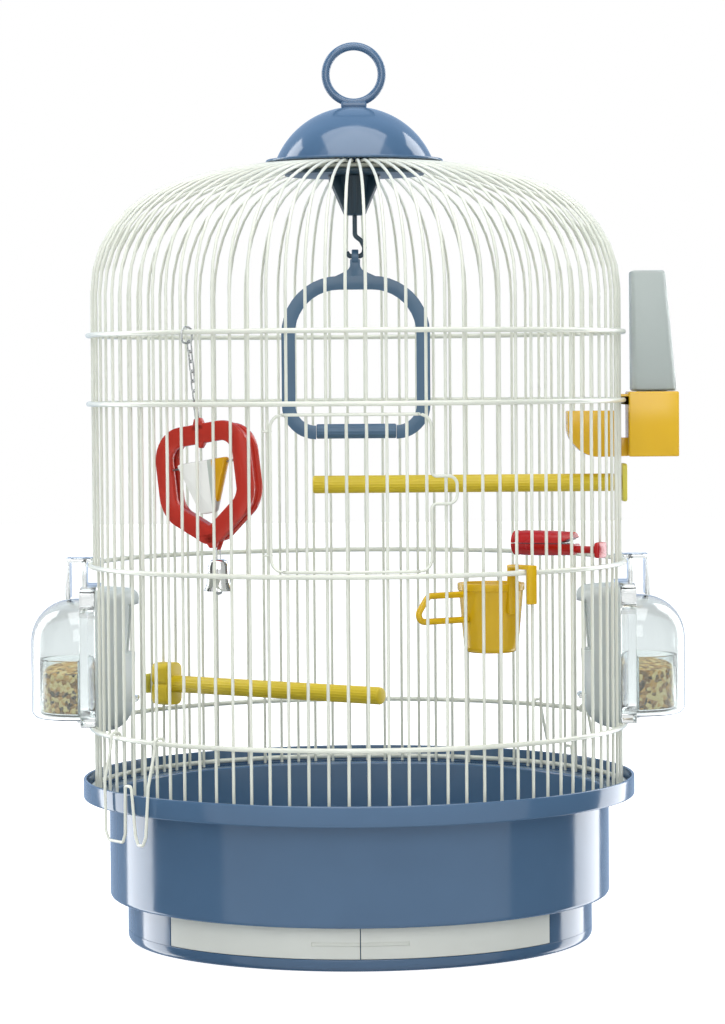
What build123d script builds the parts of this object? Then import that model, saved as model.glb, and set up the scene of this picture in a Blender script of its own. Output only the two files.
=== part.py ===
from build123d import *
import os
from math import atan, cos, degrees, hypot, pi, radians, sin, sqrt, tan

# Round wire bird cage on a plastic tray with two drawers, millimetres, +Z up.
# The origin is the centre of the underside. The front looks along -Y.
# An azimuth is counted from the front, positive to the right.

# Tray and plinth
plinth_r = 137.0
plinth_h = 25.6
tray_r = 147.3
rim_r = 162.5
rim_under_z = 83.6
ledge_z = 86.0
rim_top_z = 95.3
tray_wall = 2.5
tray_floor = 2.5
rim_lip = 1.8
sill_z = 7.0
window_half_w = 108.0

# Drawers
drawer_side_play = 0.5
drawer_floor_play = 0.2
drawer_top_play = 0.3
drawer_wall = 1.6
drawer_front_wall = 2.2
drawer_back_y = 78.0
divider_t = 2.4
runner_w = 3.0
runner_x = (20.0, 90.0)
runner_setback = 2.0
grip_len = 27.0
grip_h = 2.0
grip_depth = 1.0
grip_z = 15.5

# Wires of the cage
bar_count = 88
bar_r = 154.8
bar_w = 1.8
foot_gap = 0.3
shoulder_z = 380.0
shoulder_bend_r = 65.0
shoulder_turn = 70.0
crown_bend_r = 221.0
shoulder_runs = 3
crown_runs = 2
ring_w = 2.9
ring_sides = 44
weld_gap = 0.2
ring_z = {"ring_1": 355.0, "ring_2": 315.0, "ring_3": 220.3, "ring_4": 125.2, "ring_5": 89.0}

# Front door
door_from_az = -17.5
door_to_az = 15.1
door_low_z = 223.0
door_high_z = 309.0
door_corner_r = 7.0
door_bar_margin = 1.5
door_w = 1.8
door_play = 0.4
latch_to_az = 20.5
latch_low_z = 259.8
latch_high_z = 275.0
latch_corner_r = 5.0
hinge_loop_z = (232.0, 300.0)
hinge_loop_w = 1.2
hinge_play = 0.2

# Wire clips
clip_pitch_steps = 13
clip_hook_steps = 2
clip_w = 1.8
clip_hook_play = 0.7
clip_rim_gap = 0.5
clip_low_z = 67.0
clip_bend_h = 5.0
clip_corner = 2.5
clip_fold_rise = 6.0
clip_middle_y = (-1.0, 5.0)
clip_left_lobe_y = -1.5
clip_right_lobe_y = (9.0, 19.0)
clip_side_lean = 1.0
clip_tuck = 2.0

# Cap, carry ring and hanger
flange_r = 52.0
flange_t = 1.6
dome_r = 46.0
dome_h = 31.0
dome_runs = 6
stem_r = 4.0
stem_play = 0.1
finial_w = 15.0
finial_depth = 7.8
finial_h = 3.0
carry_lift = 2.5
carry_ring_r = 16.45
carry_tube_r = 2.4
carry_sides = 20
carry_bevel = 1.3
clamp_disc_r = 41.0
clamp_disc_t = 2.4
nut_top_r = 17.0
nut_low_r = 6.6
nut_core_r = 6.0
nut_h = 23.0
nut_fins = 6
nut_fin_t = 2.4
nut_rim_h = 2.0
nut_sides = 16
hook_w = 3.0
hook_t = 2.0
hook_seat_drop = 24.0
hook_bend = ((0, 12), (3.6, 9.2), (5.6, 5.2), (5.2, 1.8), (3.2, 0), (-3.4, 0), (-5, 2.4))

# Swing
swing_w = 87.5
swing_top_z = 389.0
swing_low_z = 293.1
swing_arm_w = 8.0
swing_t = 5.0
swing_top_r = 34.0
swing_low_r = 20.0
swing_stem_w = 6.0
swing_stem_gap = 1.5
swing_peak_half = 17.5
swing_peak_drop = 3.0
swing_peak_rise = 4.0
swing_perch_r = 4.6
swing_perch_half = 23.5
eye_r = 2.3
eye_wall = 2.0
eye_t = 4.0
eye_drop = 0.35
eye_stem_bite = 0.3

# Perches
perch_r = 5.2
upper_perch_z = 266.4
upper_perch_past = 26.0
lower_perch_steps = -31
lower_perch_z = 142.0
lower_perch_past = 17.0
perch_tip_chamfer = 1.5
perch_neck_w = 6.0
perch_neck_h = 8.0
perch_setback = 1.5
perch_plate_w = 20.0
perch_plate_h = 22.3
perch_plate_t = 2.8
perch_plate_corner = 3.0
lower_plate_h = 12.0
perch_block_w = 15.0
perch_block_h = 26.0
perch_block_t = 12.0
perch_block_corner = 4.0

# Feeders
feeder_x = 162.2
feeder_wall = 1.5
feeder_gap_steps = 3
cover_r = 30.8
cover_low_z = 130.0
cover_high_z = 200.0
cover_round = 25.0
hood_low_r = 27.6
hood_high_r = 33.4
hood_low_z = 122.0
hood_high_z = 206.0
hood_mouth_w = 34.0
hood_mouth_z = (168.0, 197.0)
hood_lip_w = 18.0
hood_lip_z = (139.4, 142.4)
frame_top_z = 208.0
frame_half_w = 35.0
frame_in_x = 153.0
frame_window_drop = 4.0
frame_hook_drop = 5.0
cup_r = 26.0
cup_wall = 1.4
cup_play = 0.9
cup_setback = 0.2
cup_high_z = 165.0
seed_high_z = 158.0
tab_half_w = 12.0
tab_out_x = 171.7
tab_t = 2.2
seat_gap = 0.3
drum_sides = 24
pivot_r = 2.0
pivot_play = 0.08
pivot_wall = 1.8

# Drinker
drinker_z = 281.7
drinker_top_z = 319.8
drinker_in_x = 159.6
drinker_out_x = 189.0
drinker_half_w = 15.0
drinker_wall = 1.8
drinker_bevel = 3.0
neck_half_w = 3.9
neck_h = 11.0
neck_wall = 0.8
trough_in_x = 124.0
trough_out_x = 152.4
trough_top_z = 308.6
trough_half_w = 12.0
trough_slope = 11.0
bottle_top_z = 390.7
bottle_low_x = (162.0, 188.0)
bottle_high_x = (161.6, 181.6)
bottle_half_w = (13.2, 10.2)
bottle_neck_inset = 3.4
bottle_neck_h = 20.0
bottle_wall = 1.2
bottle_corner = 2.8
wall_hook_w = 3.0
wall_hook_t = 1.6
wall_hook_legs = (6.0, 5.0)
wall_hook_play = 0.4

# Toy
toy_steps = -9
toy_tilt = 8.0
toy_chain_lean = 8.4
toy_front_x = 148.4
toy_loop_x = (150.9, 160.9)
toy_loop_rise = 2.05
toy_loop_wire = 1.2
toy_loop_h = 9.9
toy_links = 8
link_l = 7.6
link_w = 3.6
link_wire = 0.9
link_play = 0.3
lug_play = 0.8
lug_hole = (2.4, 1.6)
stalk_half = 2.4
stalk_bite = 2.0
heart_half_w = 33.3
heart_h = 67.5
heart_lobe_r = 19.0
heart_tip_r = 13.0
heart_band = 11.0
heart_back_band = 7.0
heart_plate_t = 4.0
heart_plate_step = 8.7
heart_web_t = 3.0
heart_web_inset = 2.5
heart_back_inset = 1.5
heart_below_lug = 2.0
heart_cusp_w = 4.0
axle_drop = 25.0
axle_w = 1.4
tumbler_half_w = 18.0
tumbler_tip_half_w = 5.0
tumbler_h = 27.0
tumbler_t = 5.0
tumbler_play = 0.3
bell_r = 8.3
bell_h = 17.5
bell_wall = 1.0
bell_drop = 7.0
bell_top_r = 4.5
bell_waist_r = 6.2
bell_loop_wire = 0.8
bell_loop_play = 0.5
bell_crown_step = 0.4
tip_eye_t = 1.4
tip_eye_half = 2.0
tip_eye_wall = 1.2
tip_eye_hole = (1.8, 2.0)
tip_eye_bite = 5.0
clapper_r = 2.2
clapper_end_r = 0.9
clapper_eye_w = 2.8
clapper_drop = 0.75

# Egg-food cup
egg_steps = 9
egg_x = 125.0
egg_top_z = 213.6
egg_low_z = 174.4
egg_top_r = 18.6
egg_low_r = 15.6
egg_round = 4.5
egg_wall = 1.6
egg_hook_w = 6.0
egg_hook_t = 2.4
egg_leg_len = 17.0
egg_strap_out_len = 20.4
egg_perch_w = 3.6
egg_perch_len = (37.0, 26.0)
egg_perch_z = (193.6, 207.8)

# Treat clip
treat_steps = 15
treat_z = 233.6
treat_r = 6.9
treat_x = (104.0, 142.0)
treat_flat = 0.25
treat_jaw_back = 6.0
treat_pin_x = 133.0
treat_pin_r = 1.0
treat_pin_play = 0.05
treat_stub_r = 2.1
treat_open = 22.0
treat_back_step = 0.4
treat_sides = 14
treat_pin_z = 2.2
treat_tongue = (4.0, 3.2)
treat_tongue_play = 1.4
treat_plate = (12.0, 9.0)
treat_plate_corner = 2.0
spring_t = 0.4
spring_w = 3.0

# How far a cut, or a piece that joins another, runs past the face it meets
past = 1.0

os.makedirs("parts", exist_ok=True)


def save(node, *solids):
    """Write one node, which may be a group of separate solids."""
    shapes = []
    for solid in solids:
        shapes += solid.solids()
    export_step(Compound(children=shapes) if len(shapes) > 1 else shapes[0], f"parts/{node}.step")


def at_wall(shape, azimuth):
    """Turn a shape drawn with +X outward and +Y to the right to its azimuth."""
    return Rot(0, 0, azimuth - 90) * shape


def block(low, high):
    """A box between two corners."""
    size = [high[i] - low[i] for i in range(3)]
    middle = [(high[i] + low[i]) / 2 for i in range(3)]
    return Pos(*middle) * Box(*size)


def strip(path, width):
    """Flat outline of a strip bent along a path of straight runs, mitred at its bends."""
    points = [Vector(*p) for p in path]
    sides = ([], [])
    for i, here in enumerate(points):
        before = (here - points[i - 1]).normalized() if i else None
        after = (points[i + 1] - here).normalized() if i + 1 < len(points) else None
        before, after = before or after, after or before
        n1, n2 = Vector(-before.Y, before.X), Vector(-after.Y, after.X)
        mitre = (n1 + n2) * (width / 2 / (1 + n1.dot(n2)))
        sides[0].append(here + mitre)
        sides[1].append(here - mitre)
    return make_face(Polyline(*sides[0], *reversed(sides[1]), close=True))


def upright_wire(path, width, thickness=None):
    """A wire of straight runs in the XZ plane, given as X and Z, centred on Y = 0."""
    return extrude(Plane.XZ * strip(path, width), (thickness or width) / 2, both=True)


def tangent_wire(path, width, x):
    """A wire of straight runs in a plane X = x, given as Y and Z."""
    return Pos(x, 0, 0) * extrude(Plane.YZ * strip(path, width), width / 2, both=True)


def soft_outline(circles, inset=0, turn_step=15):
    """Outline round circles, given as X, Y and radius, in short straight runs."""
    points = []
    for x, y, radius in circles:
        for turn in range(0, 360, turn_step):
            reach = radius - inset
            points.append((x + reach * cos(radians(turn)), y + reach * sin(radians(turn))))
    outline = []
    for run in (sorted(points), sorted(points, reverse=True)):
        chain = []
        for here in run:
            while len(chain) > 1 and not turns_left(chain[-2], chain[-1], here):
                chain.pop()
            chain.append(here)
        outline += chain[:-1]
    return make_face(Polyline(*outline, close=True))


def turns_left(first, second, third):
    """Whether a path over three points turns left at the middle one."""
    ahead = (second[0] - first[0]) * (third[1] - first[1])
    return ahead - (second[1] - first[1]) * (third[0] - first[0]) > 0.001


def turned(sections, sides):
    """A solid with flat sides through rings given as radius and height, lowest first."""
    solid = None
    for (low_r, low_z), (high_r, high_z) in zip(sections, sections[1:]):
        height = high_z - low_z
        slope = degrees(atan((low_r - high_r) * cos(pi / sides) / height))
        step = Pos(0, 0, low_z) * extrude(RegularPolygon(low_r, sides), height, taper=slope)
        solid = step if solid is None else solid + step
    return solid


def soft_rectangle(width, height, radius, inset=0, turn_step=30):
    """A rectangle with rounded corners in short straight runs, drawn in by the inset."""
    x, y = width / 2 - radius, height / 2 - radius
    return soft_outline([(a, b, radius) for a in (-x, x) for b in (-y, y)], inset, turn_step)


pitch = 360 / bar_count
bar_out_r = bar_r + bar_w / 2
ring_in_r = bar_out_r + weld_gap
ring_out_r = ring_in_r + ring_w
ring_mid_r = ring_in_r + ring_w / 2
ring_corner_r = ring_mid_r / cos(pi / ring_sides)


# Tray: one revolved shell with the drawer window, divider and runners
tray_profile = Polyline(
    (0, 0), (plinth_r, 0), (plinth_r, plinth_h), (tray_r, plinth_h), (tray_r, rim_under_z),
    (rim_r, rim_under_z), (rim_r, rim_top_z), (rim_r - rim_lip, rim_top_z), (rim_r - rim_lip, ledge_z),
    (tray_r - tray_wall, ledge_z), (tray_r - tray_wall, plinth_h + tray_wall),
    (plinth_r - tray_wall, plinth_h + tray_wall), (plinth_r - tray_wall, tray_floor), (0, tray_floor),
    close=True)
tray = revolve(Plane.XZ * make_face(tray_profile), Axis.Z)
plinth_in_r = plinth_r - tray_wall
window_wall_y = sqrt(plinth_in_r**2 - window_half_w**2)
tray -= block((-window_half_w, -plinth_r - past, sill_z), (window_half_w, -window_wall_y / 2, plinth_h))
divider_front_y = -(plinth_r - drawer_front_wall - drawer_side_play)
tray += block((-divider_t / 2, divider_front_y, tray_floor),
              (divider_t / 2, plinth_in_r, plinth_h - drawer_top_play))
for x in runner_x:
    front_y = runner_setback - sqrt(plinth_in_r**2 - (x + runner_w)**2)
    for side in (-1, 1):
        tray += block((side * x - runner_w / 2, front_y, tray_floor),
                      (side * x + runner_w / 2, drawer_back_y, sill_z))
save("base_tray", tray)


# Drawers: half-moon trays with curved fronts
drawer_low_z = sill_z + drawer_floor_play
drawer_top_z = plinth_h - drawer_top_play
drawer_in_x = divider_t / 2 + drawer_side_play
drawer_out_x = window_half_w - drawer_side_play
drawer_face_x = 0.3
drawer_height = drawer_top_z - drawer_low_z


def drawer_outline(radius, low_x, high_x, back_y):
    """The part of a disc between two X values and in front of a straight back."""
    width, depth = high_x - low_x, back_y + plinth_r
    box = Pos((low_x + high_x) / 2, (back_y - plinth_r) / 2) * Rectangle(width, depth)
    return box & Circle(radius)


def drawer():
    """The right-hand drawer, shut."""
    body = extrude(drawer_outline(plinth_r, drawer_in_x, drawer_out_x, drawer_back_y), drawer_height)
    face = drawer_outline(plinth_r, drawer_face_x, drawer_out_x, 0)
    face -= Circle(plinth_r - drawer_front_wall)
    room = drawer_outline(plinth_r - drawer_front_wall, drawer_in_x + drawer_wall,
                          drawer_out_x - drawer_wall, drawer_back_y - drawer_wall)
    tub = body + extrude(face, drawer_height) - Pos(0, 0, drawer_wall) * extrude(room, drawer_height)
    grip = Circle(plinth_r + past) - Circle(plinth_r - grip_depth)
    grip &= Pos(grip_len / 2, -plinth_r) * Rectangle(grip_len, plinth_r)
    tub -= Pos(0, 0, grip_z - drawer_low_z) * extrude(grip, grip_h / 2, both=True)
    return Pos(0, 0, drawer_low_z) * tub


drawer_right = drawer()
save("drawer_right", drawer_right)
save("drawer_left", mirror(drawer_right, Plane.YZ))


# Bars: each is one wire that rises, bends over the shoulder and meets the cap
def bar_bend():
    """Centre line of the bent part of a bar, from the top of its straight part to the cap."""
    centre_r, centre_z = bar_r - shoulder_bend_r, shoulder_z
    points = []
    for i in range(shoulder_runs + 1):
        turn = radians(shoulder_turn * i / shoulder_runs)
        points.append((centre_r + shoulder_bend_r * cos(turn), centre_z + shoulder_bend_r * sin(turn)))
    step_back = crown_bend_r - shoulder_bend_r
    centre_r -= step_back * cos(radians(shoulder_turn))
    centre_z -= step_back * sin(radians(shoulder_turn))
    for i in range(1, crown_runs + 1):
        turn = radians(shoulder_turn + (90 - shoulder_turn) * i / crown_runs)
        points.append((centre_r + crown_bend_r * cos(turn), centre_z + crown_bend_r * sin(turn)))
    return points


bar_foot_z = ledge_z + foot_gap
bend = bar_bend()
bar_end_r, bar_end_z = bend[-1]
door_gap = (ring_z["ring_3"] + ring_w / 2, ring_z["ring_2"] - ring_w / 2)
feeder_gap = (ring_z["ring_4"] + ring_w / 2, ring_z["ring_3"] - ring_w / 2)


def bar_gap(azimuth):
    """The stretch of height that the bar at this azimuth leaves open, if any."""
    if door_from_az < azimuth < door_to_az - door_bar_margin:
        return door_gap
    if min(abs(azimuth - 90), abs(azimuth + 90)) < feeder_gap_steps * pitch:
        return feeder_gap
    return None


bars = {"bars_front": [], "bars_right": [], "bars_back": [], "bars_left": []}
door_bar_azimuths = []
for i in range(bar_count):
    azimuth = (i + 0.5) * pitch - 45
    if azimuth > 180:
        azimuth -= 360
    gap = bar_gap(azimuth)
    pieces = [upright_wire([(bar_r, gap[1] if gap else bar_foot_z)] + bend, bar_w)]
    if gap:
        pieces.append(upright_wire([(bar_r, bar_foot_z), (bar_r, gap[0])], bar_w))
    if gap == door_gap:
        door_bar_azimuths.append(azimuth)
    bars[list(bars)[i * 4 // bar_count]] += [at_wall(piece, azimuth) for piece in pieces]
for node, wires in bars.items():
    save(node, *wires)


# Rings: welded round the outside of the bars
def ring(inner_r, width, z, sides, height=None):
    """A ring of straight runs whose flats lie over pairs of bars."""
    outline = RegularPolygon(inner_r + width, sides, major_radius=False)
    outline -= RegularPolygon(inner_r, sides, major_radius=False)
    return Pos(0, 0, z) * Rot(0, 0, 180 / sides) * extrude(outline, (height or width) / 2, both=True)


for node, z in ring_z.items():
    save(node, ring(ring_in_r, ring_w, z, ring_sides))
top_ring_z = bar_end_z - bar_w / 2 - weld_gap - ring_w / 2
save("top_ring", ring(bar_end_r - ring_w / 2, ring_w, top_ring_z, ring_sides // 2))


# Front door: a curved wire frame with a latch loop, seven short bars and two hinge loops
hinge_azimuth = min(door_bar_azimuths) - pitch
door_r = bar_out_r + door_play + door_w / 2
door_bar_r = door_r - door_w / 2 - weld_gap - bar_w / 2


def door_outline(inset):
    """Outer edge of the door frame seen from the front, drawn in by the inset."""
    left, right = door_r * sin(radians(door_from_az)), door_r * sin(radians(door_to_az))
    latch_x = door_r * sin(radians(latch_to_az))
    inset -= door_w / 2
    panel = soft_rectangle(right - left, door_high_z - door_low_z, door_corner_r, inset)
    latch = soft_rectangle(2 * (latch_x - right), latch_high_z - latch_low_z, latch_corner_r, inset)
    panel = Pos((left + right) / 2, (door_low_z + door_high_z) / 2) * panel
    return panel + Pos(right, (latch_low_z + latch_high_z) / 2) * latch


door_shell = Pos(0, 0, door_high_z / 2) * ring(door_r - door_w / 2, door_w, 0, ring_sides, door_high_z + door_r)
door_ring = extrude(Plane.XZ * (door_outline(0) - door_outline(door_w)), rim_r)
door_frame = door_shell & door_ring
hinge_loop_in_r = hypot(bar_w, bar_w) / 2 + hinge_play
hinge_x = bar_r * sin(radians(hinge_azimuth))
hinge_y = -bar_r * cos(radians(hinge_azimuth))
for z in hinge_loop_z:
    loop = RegularPolygon(hinge_loop_in_r + hinge_loop_w, 8)
    loop -= RegularPolygon(hinge_loop_in_r, 8, major_radius=False)
    door_frame += Pos(hinge_x, hinge_y, z) * extrude(loop, hinge_loop_w / 2, both=True)
save("door_frame", door_frame)
door_bar_path = [(door_bar_r, door_low_z - door_w / 2), (door_bar_r, door_high_z + door_w / 2)]
save("door_bars", *[at_wall(upright_wire(door_bar_path, bar_w), a) for a in door_bar_azimuths])


# Clips: bent wires that hang on ring 4 and hold the cage to the tray
def clip():
    """One clip, centred on azimuth 0 of its own wall frame."""
    z = ring_z["ring_4"]
    ring_x = ring_corner_r * cos(radians(clip_hook_steps * pitch))
    reach = ring_w / 2 + clip_hook_play + clip_w / 2
    rim_x = rim_r + clip_rim_gap + clip_w / 2
    hook_y = ring_mid_r * sin(radians(clip_hook_steps * pitch))
    fold_z = rim_top_z + clip_fold_rise
    hook = upright_wire([(ring_x - reach, z - reach / 2), (ring_x - reach, z + reach),
                         (ring_x + reach, z + reach), (ring_x + reach, z - reach), (rim_x, fold_z),
                         (rim_x, rim_top_z - clip_tuck)], clip_w)
    zigzag = [(-hook_y, rim_top_z)] + clip_lobe(clip_side_lean - hook_y, clip_left_lobe_y)
    zigzag += [(y, fold_z) for y in clip_middle_y] + clip_lobe(*clip_right_lobe_y) + [(hook_y, rim_top_z)]
    body = tangent_wire(zigzag, clip_w, rim_x)
    return body + Pos(0, -hook_y, 0) * hook + Pos(0, hook_y, 0) * hook


def clip_lobe(from_y, to_y):
    """The four points of one of the clip's hanging loops."""
    low, bend_z = clip_low_z, clip_low_z + clip_bend_h
    return [(from_y, bend_z), (from_y + clip_corner, low), (to_y - clip_corner, low), (to_y, bend_z)]


clip_azimuth = -clip_pitch_steps * pitch
save("clip_left", at_wall(clip(), clip_azimuth))
save("clip_right", at_wall(clip(), clip_azimuth + 180))


# Cap: dome and flange over the bar ends, clamp disc and finned nut under them
flange_z = bar_end_z + bar_w / 2 + weld_gap
dome_foot_z = flange_z + flange_t
dome_bend_r = (dome_r**2 + dome_h**2) / (2 * dome_h)
dome_centre_z = dome_foot_z + dome_h - dome_bend_r
dome_half_turn = atan(dome_r / (dome_foot_z - dome_centre_z))
stem_hole_r = stem_r + stem_play
dome_line = [(stem_hole_r, flange_z), (flange_r, flange_z), (flange_r, dome_foot_z)]
for i in range(dome_runs):
    turn = dome_half_turn * (1 - i / dome_runs)
    dome_line.append((dome_bend_r * sin(turn), dome_centre_z + dome_bend_r * cos(turn)))
dome_line.append((stem_hole_r, dome_foot_z + dome_h))
save("cap_dome", revolve(Plane.XZ * make_face(Polyline(*dome_line, close=True)), Axis.Z))

dome_top_z = dome_foot_z + dome_h
disc_top_z = top_ring_z - ring_w / 2 - weld_gap
disc_low_z = disc_top_z - clamp_disc_t
nut_top_z = disc_low_z - weld_gap
nut_low_z = nut_top_z - nut_h
disc = RegularPolygon(clamp_disc_r, ring_sides) - RegularPolygon(stem_hole_r, nut_sides, major_radius=False)
save("clamp_disc", Pos(0, 0, disc_low_z) * extrude(disc, clamp_disc_t))

carry_z = dome_top_z + carry_lift + carry_ring_r
finial = Pos(0, 0, dome_top_z) * extrude(Rectangle(finial_w, finial_depth), finial_h)
stem_len = dome_top_z - (nut_low_z + nut_core_r)
stem = Pos(0, 0, dome_top_z - stem_len) * extrude(Circle(stem_r), stem_len)
tube = RegularPolygon(carry_ring_r + carry_tube_r, carry_sides)
tube -= RegularPolygon(carry_ring_r - carry_tube_r, carry_sides)
carry = extrude(Plane.XZ * tube, carry_tube_r, both=True)
carry = chamfer(carry.edges().filter_by(Plane.XZ), carry_bevel)
carry = Pos(0, 0, carry_z) * Rot(0, 180 / carry_sides, 0) * carry
save("carry_ring", carry + finial + stem)

nut = Pos(0, 0, nut_low_z) * extrude(RegularPolygon(nut_core_r, nut_sides), nut_h)
fin = Polyline((0, nut_low_z), (nut_low_r, nut_low_z), (nut_top_r, nut_top_z - nut_rim_h),
               (nut_top_r, nut_top_z), (0, nut_top_z), close=True)
fin = extrude(Plane.XZ * make_face(fin), nut_fin_t / 2, both=True)
for i in range(nut_fins):
    nut += Rot(0, 0, (i + 0.5) * 360 / nut_fins) * fin
stem_hole = RegularPolygon(stem_hole_r, nut_sides, major_radius=False)
nut -= Pos(0, 0, dome_top_z - stem_len - past) * extrude(stem_hole, nut_h)
save("cone_nut", nut)

hook_seat_z = nut_low_z - hook_seat_drop
hook_path = [(0, nut_low_z - weld_gap)] + [(x, hook_seat_z + rise) for x, rise in hook_bend]
save("swing_hook", upright_wire(hook_path, hook_w, hook_t))


# Swing: a rounded frame with a ribbed perch, hung by an eye
swing_h = swing_top_z - swing_low_z
swing_mid_z = (swing_top_z + swing_low_z) / 2


def swing_outline(inset):
    """Rounded outline of the swing frame, drawn in by the inset."""
    corners = []
    for radius, z in ((swing_top_r, swing_h / 2 - swing_top_r), (swing_low_r, swing_low_r - swing_h / 2)):
        corners += [(side * (swing_w / 2 - radius), z, radius) for side in (-1, 1)]
    return soft_outline(corners, inset, 18)


eye_z = hook_seat_z - eye_drop
stem_top_z = hook_seat_z - hook_w / 2 - swing_stem_gap
foot_z, neck_z = swing_top_z - swing_peak_drop, swing_top_z + swing_peak_rise
half_stem = swing_stem_w / 2
peak = Polyline((-swing_peak_half, foot_z), (-half_stem, neck_z), (-half_stem, stem_top_z),
                (half_stem, stem_top_z), (half_stem, neck_z), (swing_peak_half, foot_z),
                (0, neck_z - swing_arm_w), close=True)
swing_face = Pos(0, swing_mid_z) * (swing_outline(0) - swing_outline(swing_arm_w)) + make_face(peak)
swing_face -= Pos(0, swing_low_z) * Rectangle(2 * (swing_perch_half + weld_gap), 3 * swing_arm_w)
swing = extrude(Plane.XZ * swing_face, swing_t / 2, both=True)
eye_out_r = eye_r + eye_wall
swing += block((-eye_t / 2, -swing_t / 2, stem_top_z - past),
               (eye_t / 2, swing_t / 2, eye_z - eye_r - eye_stem_bite))
swing += Pos(0, 0, eye_z) * extrude(Plane.YZ * Circle(eye_out_r), eye_t / 2, both=True)
swing -= Pos(0, 0, eye_z) * extrude(Plane.YZ * Circle(eye_r), eye_t, both=True)
save("swing_frame", swing)
perch_axis_z = swing_low_z + swing_perch_r
swing_rod = extrude(Plane.YZ * Circle(swing_perch_r), swing_perch_half, both=True)
save("swing_perch", Pos(0, 0, perch_axis_z) * swing_rod)


# Perches: straight rods clamped at the wall between two bars
def perch_rod(wall_x, tip_past):
    """A rod from the wall inwards, past the centre, with a chamfered tip."""
    rod = extrude(Plane.YZ * Circle(perch_r), wall_x + tip_past)
    rod = chamfer(rod.faces().sort_by(Axis.X)[0].edges(), perch_tip_chamfer)
    return Pos(-tip_past, 0, 0) * rod


def perch_neck(from_x):
    """The flat neck that passes between two bars to the outside plate."""
    half_w, half_h = perch_neck_w / 2, perch_neck_h / 2
    return block((from_x - past, -half_w, -half_h), (plate_in_x, half_w, half_h))


neck_in_x = bar_r - bar_w / 2 - perch_setback
plate_in_x = bar_out_r + door_play
upper_rod = perch_rod(neck_in_x, upper_perch_past)
upper_rod += perch_neck(neck_in_x)
save("upper_perch", at_wall(Pos(0, 0, upper_perch_z) * upper_rod, 90))


def wall_plate(height, width):
    """An outside plate with rounded corners, flat on the bars."""
    face = soft_rectangle(width, height, perch_plate_corner)
    return Pos(plate_in_x, 0, 0) * extrude(Plane.YZ * face, perch_plate_t)


save("upper_perch_plate", at_wall(Pos(0, 0, upper_perch_z) * wall_plate(perch_plate_h, perch_plate_w), 90))

block_out_x = bar_r - bar_w / 2 - door_play
lower_rod = perch_rod(block_out_x - perch_block_t, lower_perch_past)
clamp = extrude(Plane.YZ * soft_rectangle(perch_block_w, perch_block_h, perch_block_corner), perch_block_t)
lower_rod += Pos(block_out_x - perch_block_t, 0, 0) * clamp
lower_rod += perch_neck(block_out_x)
lower_plate = wall_plate(lower_plate_h, perch_plate_w)
save("lower_perch", at_wall(Pos(0, 0, lower_perch_z) * lower_rod, lower_perch_steps * pitch))
save("lower_perch_plate", at_wall(Pos(0, 0, lower_perch_z) * lower_plate, lower_perch_steps * pitch))


# Feeders: a framed turning cup under an outside cover and an inside hood
frame_low_z = ring_z["ring_4"] + ring_w / 2 + seat_gap
frame_out_x = feeder_x - seat_gap
cup_low_z = cover_low_z + feeder_wall + seat_gap


def half_drum(outer, inner, outward):
    """Half of a hollow flat-sided drum about the feeder axis, on one side of the frame."""
    drum = Pos(feeder_x, 0, 0) * (turned(outer, drum_sides) - turned(inner, drum_sides))
    low, high = (feeder_x, 2 * feeder_x) if outward else (0, frame_in_x - seat_gap)
    return drum & block((low, -feeder_x, 0), (high, feeder_x, 2 * feeder_x))


def shoulder_points(radius, high, bend_r):
    """The rounded corner of a profile in three runs, from its side to its top."""
    turns = [radians(a) for a in (90, 60, 30, 0)]
    return [(radius - bend_r + bend_r * sin(a), high - bend_r + bend_r * cos(a)) for a in turns]


def feeder_cover():
    """Clear outside cover with a rounded shoulder and a floor."""
    r, t = cover_r, feeder_wall
    outer = [(r, cover_low_z)] + shoulder_points(r, cover_high_z, cover_round)
    inner = [(r - t, cover_low_z + t)] + shoulder_points(r - t, cover_high_z - t, cover_round - t)
    return half_drum(outer, inner, True) - pivot_peg(pivot_r + past, cover_low_z - past, cup_low_z)


def feeder_hood():
    """Grey inside hood, narrower below, with a mouth for the bird and a small lip."""
    low, high, t = hood_low_r, hood_high_r, feeder_wall
    outer = [(low, hood_low_z), (high, hood_high_z)]
    inner = [(low - t, hood_low_z + t), (high - t, hood_high_z - t)]
    shell = half_drum(outer, inner, False)
    half_mouth, half_lip = hood_mouth_w / 2, hood_lip_w / 2
    shell -= block((feeder_x - high - past, -half_mouth, hood_mouth_z[0]),
                   (feeder_x - high / 2, half_mouth, hood_mouth_z[1]))
    return shell + block((feeder_x - high, -half_lip, hood_lip_z[0]), (feeder_x - low, half_lip, hood_lip_z[1]))


def pivot_peg(radius, low_z, high_z):
    """An upright peg on the feeder axis."""
    face = RegularPolygon(radius, 16, major_radius=radius <= pivot_r)
    return Pos(feeder_x, 0, low_z) * extrude(face, high_z - low_z)


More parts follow.
